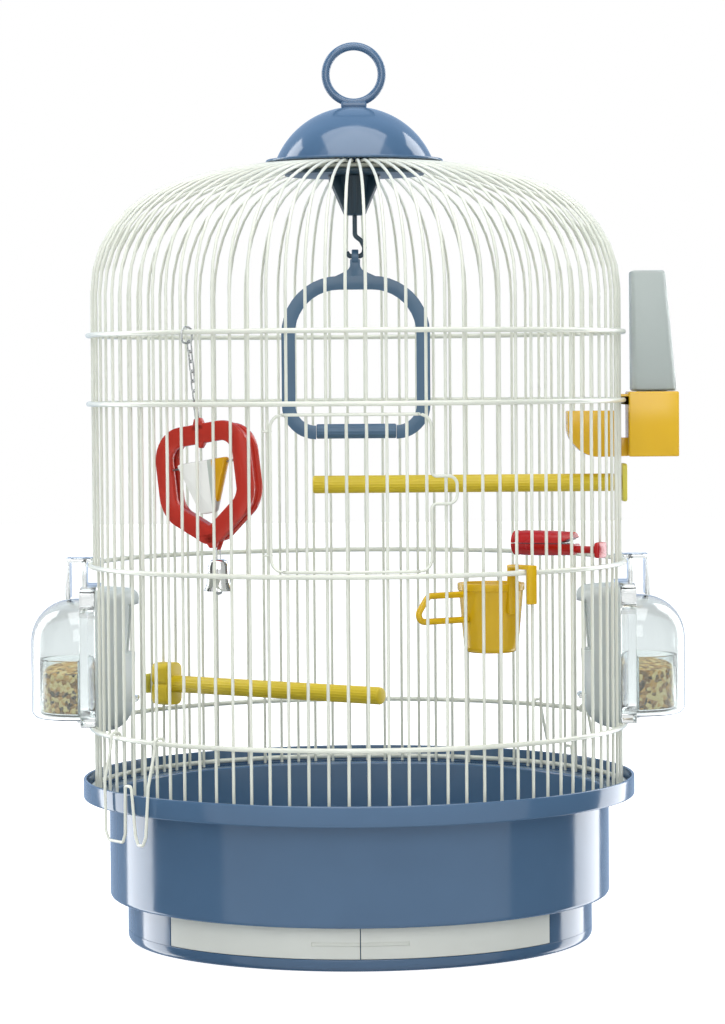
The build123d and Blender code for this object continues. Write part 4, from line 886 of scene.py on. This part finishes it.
class CAGE_OT_feeders(bpy.types.Operator):
    """Make both wall feeders: cover, hood, frame, turning cup and seed"""
    bl_idname = "cage.feeders"
    bl_label = "Feeders"

    def execute(self, context):
        fittings = context.scene.cage_fittings
        shoulder, wall = fittings.cover_round / MM, fittings.cover_wall / MM
        axis = shift(FEEDER_X, 0, 0)
        covers, hoods, frames = [], [], []
        r, low, high = 30.8, 130.0, 200.0
        for azimuth in SIDES.values():
            place = at_wall(azimuth)
            profile = [(0, low), (r, low), (r, high), (0, high), (0, high - wall), (r - wall, high - wall),
                       (r - wall, low + wall), (0, low + wall)]
            cover = spun(profile, [0, 5.0, shoulder, 0, 0, shoulder - wall, 3.6, 0], 180, 48, 10, start=-90)
            covers.append(moved(cover, axis, place))
            hoods.append(moved(feeder_hood(), axis, place))
            frames.append(moved(feeder_frame(), place))
        settle(joined(*covers), "clear_feeder_covers", "clear", "cage", ["feeder_covers"])
        hood = settle(joined(*hoods), "grey_feeder_hoods", "hood", "cage", ["feeder_hoods"])
        walled(hood, 1.5)
        settle(joined(*frames), "clear_feeder_frames", "clear", "cage", ["feeder_frames"])
        cup_r, cup_h, cup_wall = 26.0, 33.2, 1.4
        hollow_r = cup_r - cup_wall
        cup_profile = [(0, 0), (cup_r, 0), (cup_r, cup_h), (hollow_r, cup_h), (hollow_r, cup_wall),
                       (0, cup_wall)]
        seed_profile = [(0, 0), (24.3, 0), (24.3, 23.2), (21, 23.9), (12, 24.4), (0, 24.5)]
        for name, azimuth in SIDES.items():
            place = at_wall(azimuth) @ axis
            cup = spun(cup_profile, [0, 2.0, 0.5, 0.5, 1.2, 0], 180, 48, start=-90)
            trimmed(cup, (0.2, 0, 0), (-1, 0, 0))
            front = block((0.2, -25.6, 0.6), (1.6, 25.6, cup_h), 0.3)
            peg = spun([(0, -4.9), (2.0, -4.9), (2.0, 0.6), (0, 0.6)], [0, 0.4, 0, 0], steps=24)
            settle(joined(cup, front, peg), f"{name}_feeder_cup", "clear", f"feeder_cup_{name}",
                   [f"feeder_cup_{name}"], place @ shift(0, 0, 131.8))
            seed = spun(seed_profile, [0, 1.5, 0.8, 0, 0, 0], 180, 48, start=-90)
            trimmed(seed, (1.9, 0, 0), (-1, 0, 0))
            settle(seed, f"{name}_seed", "seed", f"feeder_cup_{name}", [f"seed_{name}"],
                   place @ shift(0, 0, 133.5), sharp=60)
        return {"FINISHED"}


def feeder_hood():
    """The grey hood inside the wall as one skin, with its mouth."""
    low_r, high_r, low, high, reach = 27.6, 33.4, 122.0, 206.0, 152.7 - FEEDER_X
    form = bmesh.new()
    points = [form.verts.new((x, 0, z)) for x, z in ((0, low), (low_r, low), (high_r, high), (0, high))]
    for first, second in zip(points, points[1:]):
        form.edges.new((first, second))
    for corner, rounding, segments in ((points[1], 14.0, 8), (points[2], 6.0, 5)):
        bmesh.ops.bevel(form, geom=[corner], offset=rounding, offset_type="OFFSET", segments=segments,
                        profile=0.5, affect="VERTICES", material=-1)
    swept(form, 72)
    trimmed(form, (reach, 0, 0), (1, 0, 0), close=False)
    half_mouth, mouth_low, mouth_high, mouth_x = 17.0, 168.0, 197.0, -20
    for point, normal in (((0, half_mouth, 0), (0, 1, 0)), ((0, -half_mouth, 0), (0, 1, 0)),
                          ((0, 0, mouth_low), (0, 0, 1)), ((0, 0, mouth_high), (0, 0, 1))):
        scored(form, point, normal)
    gone = []
    for face in form.faces:
        centre = face.calc_center_median()
        if abs(centre.y) < half_mouth and mouth_low < centre.z < mouth_high and centre.x < mouth_x:
            gone.append(face)
    bmesh.ops.delete(form, geom=gone, context="FACES")
    bmesh.ops.recalc_face_normals(form, faces=form.faces)
    return form


def feeder_frame():
    """The clear frame that stands on ring 4, with its tab over ring 3, its hook and its inside lip."""
    low, high, half, in_x, out_x = 126.9, 208.0, 35.0, 153.0, 161.9
    plate = framed(rectangle(half, low, high), rectangle(26.9, 131.5, 196.0), out_x - in_x,
                   [2, 2, 9, 9], [1.5, 1.5, 6, 6], 0.5, face=FACE_X)
    moved(plate, shift((in_x + out_x) / 2, 0, 0))
    tab_t, tab_width = 2.2, 24
    top = over_ring("ring_3", tab_t)
    tab = prism(band([(156.2, top), (170.6, top), (170.6, 200.3)], tab_t), tab_width, 0.4, 0.4)
    post = prism(band([(160.8, high - 1), (160.8, top)], 2.1), tab_width, 0, 0.4)
    hook = prism(band([(157.2, top), (152.5, top), (152.5, top - 5)], 2.1), 7.8, 0.3, 0.3)
    foot = block((out_x - 1, -4, low), (FEEDER_X + 3.8, 4, 129.7), 0.4)
    lip = block((FEEDER_X - 32.5, -9, 139.4), (FEEDER_X - 26, 9, 142.4), 1.2)
    return joined(plate, tab, post, hook, foot, lip)


class CAGE_OT_drinker(bpy.types.Operator):
    """Make the yellow drinker with its trough, hooks and frosted bottle"""
    bl_idname = "cage.drinker"
    bl_label = "Drinker"

    def execute(self, context):
        low, high, wall = 281.7, 319.8, 1.8
        box = hollowed(block((159.6, -15, low), (189, 15, high), 0), wall, low + wall)
        soften(box, 0.9, 3)
        front = [(152.4, low), (135.0, low), (124.0, low + 11), (124.0, 308.6), (152.4, 308.6)]
        trough = hollowed(prism(front, 24, [0, 6.0, 6.0, 0, 0], segments=6), wall, 296.0)
        soften(trough, 0.6, 2)
        neck = block((151.8, -3.9, low + 0.1), (160.0, 3.9, low + 11), 0.6)
        hook_t = 1.6
        top = over_ring("ring_2", hook_t)
        hook = [(160.4, top - 6), (160.4, top), (154.4, top), (154.4, top - 5)]
        hooks = [moved(prism(band(hook, hook_t), 3, 0.3, 0.3), shift(0, y, 0)) for y in (-11.2, 11.2)]
        settle(joined(box, trough, neck, *hooks), "drinker_moulding", "yellow", "cage",
               ["drinker_body"], at_wall(90))
        foot_z, top_z = high + 0.3, 390.7
        low_x, low_y, high_x, high_y, lean = 13.0, 13.2, 10.0, 10.2, 3.4
        bottle = moved(flat(rectangle(low_x, -low_y, low_y), 3.2), FACE_Z)
        upper = grown(bottle, (0, 0, top_z - foot_z))
        bmesh.ops.scale(bottle, verts=upper, vec=(high_x / low_x, high_y / low_y, 1))
        bmesh.ops.translate(bottle, verts=upper, vec=(-lean, 0, 0))
        soften(bottle, 1.6, 3, 50)
        moved(bottle, shift(175, 0, foot_z))
        neck = block((165.4, -9.8, foot_z - 20), (182.6, 9.8, foot_z + 0.4), 1.5)
        piece = settle(joined(bottle, neck), "water_bottle", "bottle", "bottle", ["drinker_bottle"],
                       at_wall(90))
        walled(piece, 1.2)
        return {"FINISHED"}


class CAGE_OT_toy(bpy.types.Operator):
    """Make the hanging toy: chain, heart, axle, tumbler, bell and clapper"""
    bl_idname = "cage.toy"
    bl_label = "Hanging Toy"

    def execute(self, context):
        wall = at_wall(TOY_AZ)
        top_x, top_z, lean, link_pitch, links = 153.9, 349.55, 8.4, 5.5, 8
        runs = []
        for i in range(links):
            along = shift(0, 0, -2.6 - i * link_pitch) @ turn(90 * (i % 2), "Z")
            link = shift(top_x, 0, top_z) @ turn(lean, "Y") @ along
            corners = rectangle(1.35, -3.35, 3.35)
            runs.append([(*(link @ Vector((0, y, z))), 1.3) for y, z in corners])
        chain = wires("toy_chain_links", runs, 0.9, wall, True, 4)
        settle(chain, "toy_chain_links", "chain", "toy", ["toy_chain"])
        loop = [(155.9 + x, 0, z, 3.0) for x, z in rectangle(4.4, 348.95, 357.65)]
        top_loop = wires("toy_top_loop", [loop], 1.2, wall, True, 4)
        settle(top_loop, "toy_top_loop", "chain", "toy")
        length = links * link_pitch
        lug_x, lug_z = top_x - length * sin(radians(lean)), top_z - length * cos(radians(lean))
        tilt, axle_z, axle_half = 8, -25, 27.8
        hung = wall @ shift(0, 0, lug_z) @ turn(tilt, "X")
        front_x, back_x = 146.4, 137.7
        heart = toy_heart(front_x, back_x, lug_x)
        settle(heart, "toy_heart_frame", "heart", "toy", ["toy_heart"], hung)
        ends = [(front_x, side * axle_half, axle_z, 0) for side in (-1, 1)]
        axle = wires("toy_axle_wire", [ends], 1.4, hung, resolution=1)
        settle(axle, "toy_axle_wire", "chain", "toy", ["toy_axle"])
        outline = [(-5.0, -27), (5.0, -27), (18.0, 2.5), (-18.0, 2.5)]
        tumbler = prism(outline, 5.0, [1.8, 1.8, 2.2, 2.2], 1.2, FACE_X)
        bands = (4.5, 7.5)
        for y in bands:
            scored(tumbler, (0, y, 0), (0, 1, 0))
        for face in tumbler.faces:
            face.material_index = sum(face.calc_center_median().y > y for y in bands)
        settle(tumbler, "toy_tumbler_block", ("tumbler", "strip", "panel"), "tumbler",
               ["toy_tumbler"], hung @ shift(front_x, 0, axle_z))
        eye = hung @ Vector(((front_x + back_x) / 2, 0, -71.0))
        pivot = Matrix.Translation(eye) @ wall
        bell = [(8.3, -24.5), (7.3, -24.5), (5.3, -19), (4.9, -10.6), (3.6, -8), (0, -8), (0, -7), (4.5, -7),
                (5.9, -10.4), (6.2, -19.2)]
        shell = spun(bell, [0.3, 0.3, 2.5, 2.0, 0.8, 0, 0, 1.4, 2.0, 2.5], steps=48)
        settle(shell, "toy_bell_shell", "bell", "bell", ["toy_bell"], pivot, 50)
        hoop = [(-1.6, 0, -7.4, 0), (-1.6, 0, 0, 1.2), (1.6, 0, 0, 1.2), (1.6, 0, -7.4, 0)]
        pin_z = -11.375
        pin = [(0, -5.2, pin_z, 0), (0, 5.2, pin_z, 0)]
        bell_loop = wires("toy_bell_loop", [hoop, pin], 0.8, pivot)
        settle(bell_loop, "toy_bell_loop", "bell", "bell")
        clapper = bmesh.new()
        bmesh.ops.create_uvsphere(clapper, u_segments=20, v_segments=12, radius=2.2)
        moved(clapper, shift(0, 0, -13.125))
        rod = spun([(0, -12), (0.4, -12), (0.4, -1.2), (0, -1.2)], steps=10)
        ring = moved(torus(1.05, 0.7, 20, 8), turn(90, "X"))
        settle(joined(clapper, rod, ring), "toy_clapper", "chain", "clapper", ["bell_clapper"],
               pivot @ shift(0, 0, pin_z))
        return {"FINISHED"}


def toy_heart(front_x, back_x, lug_x):
    """Two heart-shaped rings joined by a web, with the stalk above and the long tip below."""
    outer, outer_round = heart_outline(0)
    inner, inner_round = heart_outline(11)
    front = framed(outer, inner, 4.0, outer_round, inner_round, 0.9, 10, FACE_X)
    moved(front, shift(front_x, 0, 0))
    cusp = prism([(-2.8, -12.9), (0, -15.7), (2.8, -12.9), (0, -10.1)], 3.9, 0.4, 0.5, FACE_X)
    moved(cusp, shift(front_x, 0, 0))
    rings = []
    for outset, inset, depth, x in ((1.5, 8.5, 4.0, back_x), (2.5, 5.5, 8.7, (front_x + back_x) / 2)):
        (wide, wide_round), (narrow, narrow_round) = heart_outline(outset), heart_outline(inset)
        ring = framed(wide, narrow, depth, wide_round, narrow_round, 0.9 if depth < 5 else 0, 10, FACE_X)
        rings.append(moved(ring, shift(x, 0, 0)))
    stalk = prism([(-4.6, -5.5), (4.6, -5.5), (1.7, 1.3), (-1.7, 1.3)], 4.0, [0, 0, 0.8, 0.8], 0.5, FACE_X)
    moved(stalk, shift(front_x, 0, 0))
    lug = block((lug_x - 0.5, -1.6, -4.5), (front_x, 1.6, 1.4), 0.3)
    eye_plate = [(-6.5, -64.5), (6.5, -64.5), (1.0, -72.7), (-1.0, -72.7)]
    tip = prism(eye_plate, 1.4, [0, 0, 0.6, 0.6], 0.3, FACE_X)
    moved(tip, shift((front_x + back_x) / 2, 0, 0))
    spike = prism([(-6.5, -63), (6.5, -63), (1.6, -71.4), (-1.6, -71.4)], 4.0, [0, 0, 0.8, 0.8], 0.6, FACE_X)
    moved(spike, shift(front_x, 0, 0))
    return joined(front, cusp, *rings, stalk, lug, tip, spike)


def heart_outline(inset):
    """The heart's outline drawn in by a distance, and how far its roundings reach from its corners."""
    lobe, tip, half, top = (value - inset for value in (19.0, 13.0, 33.3, -2.0))
    lobe_y, lobe_z, slope = 14.3, -40.0, radians(56.85)
    reach = cos(slope) * lobe_y - sin(slope) * lobe_z + lobe
    side_low, tip_low = (cos(slope) * half - reach) / sin(slope), -reach / sin(slope)
    points = [(-half, top), (half, top), (half, side_low), (0, tip_low), (-half, side_low)]
    low_cut, tip_cut = lobe * tan(slope / 2), tip * tan((pi - 2 * slope) / 2)
    return points, [lobe, lobe, low_cut, tip_cut, low_cut]


class CAGE_OT_egg_cup(bpy.types.Operator):
    """Turn the egg-food cup and hang it by its strap, with its side perch"""
    bl_idname = "cage.egg_cup"
    bl_label = "Egg-food Cup"

    def execute(self, context):
        edge = context.scene.cage_fittings.cup_edge / MM
        low, high, x = 174.4, 213.6, 125.0
        profile = [(0, low), (15.0, low), (18.1, 209.2), (18.9, 209.4), (18.9, high), (17.0, high),
                   (13.5, low + 1.6), (0, low + 1.6)]
        cup = moved(spun(profile, [0, edge, 0.2, 0.5, 0.5, 0.4, 2.2, 0], steps=96), shift(x, 0, 0))
        strap_t = 2.4
        top = over_ring("ring_3", strap_t)
        path = [(143.8, 196.6), (143.8, top), (160.7, top), (160.7, 202.85)]
        strap = prism(band(path, strap_t), 6, 0.6, 0.5)
        place = at_wall(-TOY_AZ)
        settle(joined(cup, strap), "egg_food_cup", "egg", "egg_cup", ["egg_cup"], place)
        rail = [(x, -17.2, 193.6, 0), (x, -55.6, 193.6, 4.0), (x, -44.6, 207.8, 4.0), (x, -17.2, 207.8, 0)]
        curve = wires("egg_cup_rail", [rail], 3.6, place, sides=4)
        settle(curve, "egg_cup_rail", "egg", "egg_cup")
        return {"FINISHED"}


class CAGE_OT_treat_clip(bpy.types.Operator):
    """Make the treat clip's two half-round jaws, its wall stub and its pin"""
    bl_idname = "cage.treat_clip"
    bl_label = "Treat Clip"

    def execute(self, context):
        place = at_wall(15 * PITCH) @ shift(0, 0, 233.6)
        low_x, high_x, r = 104.0, 142.0, 6.9
        barrel = [(0, low_x), (6.6, low_x), (7.2, low_x + 5), (7.25, 118), (7.1, 130), (6.6, high_x),
                  (0, high_x)]
        collar = [(6.0, low_x + 0.1), (7.3, low_x + 0.1), (7.3, low_x + 1.9), (6.0, low_x + 1.9)]
        halves = []
        for side in (1, -1):
            body = spun(barrel, [0, 1.0, 1.5, 2.0, 2.0, 1.0, 0], steps=56, axis="X")
            rim = spun(collar, 0.3, steps=56, axis="X")
            halves.append(trimmed(joined(body, rim), (0, 0, side * 0.25), (0, 0, -side)))
        upper, lower = halves
        slope = radians(22)
        trimmed(upper, (134, 0, 0.25), (sin(slope), 0, -cos(slope)))
        settle(upper, "treat_upper_jaw", "treat", "treat_jaw", ["treat_jaw"], place)
        stub = spun([(0, 0), (2.1, 0), (2.1, 19.2), (0, 19.2)], steps=24, axis="X")
        plate = prism(rectangle(6, -4.5, 4.5), 2.8, 2.0, 0.7, FACE_X)
        holder = joined(lower, moved(stub, shift(139.8, 0, -r / 2)), moved(plate, shift(157.5, 0, -r / 2)))
        settle(holder, "treat_lower_jaw", "treat", "cage", ["treat_holder"], place)
        pin = wires("treat_pin", [[(133, -5.9, 2.2, 0), (133, 5.9, 2.2, 0)]], 1.9, place, resolution=1)
        settle(pin, "treat_pin", "chain", "cage")
        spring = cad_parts["treat_spring"]
        spring.data.materials.clear()
        spring.data.materials.append(material("chain"))
        return {"FINISHED"}


class CAGE_OT_stage(bpy.types.Operator):
    """Lay the floor, set the softboxes and the pale surroundings, and place the camera"""
    bl_idname = "cage.stage"
    bl_label = "Stage"

    def execute(self, context):
        stage = context.scene.cage_stage
        form = bmesh.new()
        bmesh.ops.create_grid(form, x_segments=2, y_segments=2, size=6.0)
        data = bpy.data.meshes.new("studio_floor")
        form.to_mesh(data)
        form.free()
        data.materials.append(floor_paper())
        floor = bpy.data.objects.new("studio_floor", data)
        floor.location.z = -0.0005
        floor.visible_glossy = False
        context.scene.collection.objects.link(floor)
        softbox("top_softbox", (0, -0.55, 2.0), (0, -0.1, 0), 2.0, 1.5, stage.top)
        softbox("left_softbox", (-1.11, 0.57, 0.35), (0, 0, 0.35), 0.54, 2.3, stage.side, 0.2)
        softbox("right_softbox", (1.0, 0.71, 0.35), (0, 0, 0.35), 0.6, 2.3, stage.side, 0.2)
        softbox("front_softbox", (0, -2.6, 1.3), (0, 0, 0.25), 2.2, 1.6, stage.front)
        surroundings()
        camera = bpy.data.cameras.new("camera")
        camera.lens = stage.lens
        camera.sensor_width = 36
        camera.sensor_fit = "AUTO"
        viewer = bpy.data.objects.new("camera", camera)
        context.scene.collection.objects.link(viewer)
        middle_row, horizon_row, focal_pixels = 512, 380, 3501
        pitch, yaw, roll = degrees(atan((middle_row - horizon_row) / focal_pixels)), 0.0894, 0.45
        distance, height = 2.064, 0.3278
        aim = turn(-yaw, "Z") @ turn(90 - pitch, "X") @ turn(-roll, "Z")
        viewer.matrix_world = shift(0, -distance, height) @ aim
        context.scene.camera = viewer
        context.scene.view_settings.view_transform = "Standard"
        return {"FINISHED"}


def softbox(name, place, aim, width, height, power, spread=1.0):
    """A large soft lamp that looks at a point and isn't itself seen."""
    lamp = bpy.data.lights.new(name, "AREA")
    lamp.shape = "RECTANGLE"
    lamp.size, lamp.size_y = width, height
    lamp.energy = power
    lamp.diffuse_factor = spread
    holder = bpy.data.objects.new(name, lamp)
    bpy.context.scene.collection.objects.link(holder)
    direction = Vector(aim) - Vector(place)
    aimed = direction.to_track_quat("-Z", "Y").to_matrix().to_4x4()
    holder.matrix_world = Matrix.Translation(place) @ aimed
    holder.visible_camera = False


def floor_paper():
    """Matt white studio paper: blank where it is lit and a soft grey where the cage shades it."""
    paper, tree = blank("matt_white_studio_paper")
    place = add(tree, "ShaderNodeTexCoord").outputs["Object"]
    fibre = add(tree, "ShaderNodeTexNoise", {"Vector": place, "Scale": 1 / (3 * MM), "Detail": 2.0})
    relief = add(tree, "ShaderNodeBump", {"Height": fibre.outputs["Fac"], "Strength": 0.1,
                                          "Distance": 0.05 * MM})
    lit = add(tree, "ShaderNodeBsdfDiffuse", {"Color": linear("#E4E5E4"), "Normal": relief.outputs["Normal"]})
    glow = add(tree, "ShaderNodeEmission", {"Color": (1, 1, 1, 1), "Strength": seen_directly(tree)})
    whole = add(tree, "ShaderNodeAddShader", {0: lit.outputs["BSDF"], 1: glow.outputs["Emission"]})
    add(tree, "ShaderNodeOutputMaterial", {"Surface": whole.outputs["Shader"]})
    return paper


def seen_directly(tree):
    """1 for rays from the camera, also through clear plastic, and 0 for the light on the cage."""
    path = add(tree, "ShaderNodeLightPath")
    rays = {0: path.outputs["Is Camera Ray"], 1: path.outputs["Is Transmission Ray"]}
    return add(tree, "ShaderNodeMath", rays, operation="MAXIMUM").outputs["Value"]


def surroundings():
    """A plain room: white where it is seen, grey where it lights, and for reflections a pale
    front, dim sides and a pale blue back."""
    world = bpy.data.worlds.new("studio")
    bpy.context.scene.world = world
    world.use_nodes = True
    tree = world.node_tree
    tree.nodes.clear()
    direction = add(tree, "ShaderNodeTexCoord").outputs["Generated"]
    along = add(tree, "ShaderNodeVectorMath", {0: direction, 1: (1, 1, 0)}, operation="MULTIPLY")
    along = add(tree, "ShaderNodeVectorMath", {0: along.outputs["Vector"]}, operation="NORMALIZE")
    backwards = (-0.0645, 0.998, 0)
    depth = add(tree, "ShaderNodeVectorMath", {0: along.outputs["Vector"], 1: backwards},
                operation="DOT_PRODUCT")
    position = add(tree, "ShaderNodeMapRange", {"Value": depth.outputs["Value"], "From Min": -1.0,
                                               "From Max": 1.0})
    ramp = add(tree, "ShaderNodeValToRGB", {"Fac": position.outputs["Result"]})
    fill_ramp(ramp.color_ramp, (("#EDEDED", 0.0), ("#EDEDED", 0.322), ("#5A5C5F", 0.332), ("#5A5C5F", 0.62),
                                ("#B4CBEA", 0.9)))
    path = add(tree, "ShaderNodeLightPath")
    mirrored = add(tree, "ShaderNodeMix", {"Factor": path.outputs["Is Glossy Ray"]}, data_type="RGBA")
    mirrored.inputs["A"].default_value = linear("#8A8E92")
    tree.links.new(ramp.outputs["Color"], mirrored.inputs["B"])
    mixed = add(tree, "ShaderNodeMix", {"Factor": seen_directly(tree), "A": mirrored.outputs["Result"],
                                        "B": (1, 1, 1, 1)}, data_type="RGBA")
    air = add(tree, "ShaderNodeBackground", {"Color": mixed.outputs["Result"], "Strength": 1.0})
    add(tree, "ShaderNodeOutputWorld", {"Surface": air.outputs["Background"]})


class CAGE_PT_panel(bpy.types.Panel):
    """The cage's pieces, in the order in which they are made"""
    bl_label = "Bird Cage"
    bl_idname = "CAGE_PT_panel"
    bl_space_type = "VIEW_3D"
    bl_region_type = "UI"
    bl_category = "Bird Cage"

    def draw(self, context):
        layout = self.layout
        for group in GROUPS:
            box = layout.box()
            box.label(text=group.removeprefix("cage_").title())
            settings = getattr(context.scene, group)
            for name in settings.__annotations__:
                box.prop(settings, name)
        for operator in OPERATORS:
            layout.operator(operator.bl_idname)


GROUPS = {"cage_wires": CageWireSettings, "cage_tray": CageTraySettings, "cage_perches": CagePerchSettings,
          "cage_fittings": CageFittingSettings, "cage_stage": CageStageSettings}
OPERATORS = (CAGE_OT_stage, CAGE_OT_tray, CAGE_OT_drawers, CAGE_OT_bars, CAGE_OT_rings, CAGE_OT_door,
             CAGE_OT_clips, CAGE_OT_cap, CAGE_OT_swing, CAGE_OT_perches, CAGE_OT_feeders, CAGE_OT_drinker,
             CAGE_OT_toy, CAGE_OT_egg_cup, CAGE_OT_treat_clip)


def register():
    for cls in (*GROUPS.values(), *OPERATORS, CAGE_PT_panel):
        bpy.utils.register_class(cls)
    for name, group in GROUPS.items():
        setattr(bpy.types.Scene, name, PointerProperty(type=group))


def unregister():
    for name in GROUPS:
        delattr(bpy.types.Scene, name)
    for cls in reversed((*GROUPS.values(), *OPERATORS, CAGE_PT_panel)):
        bpy.utils.unregister_class(cls)


def main():
    """Register the add-on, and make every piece."""
    register()
    for operator in OPERATORS:
        group, name = operator.bl_idname.split(".")
        getattr(getattr(bpy.ops, group), name)()


if __name__ == "__main__":
    main()
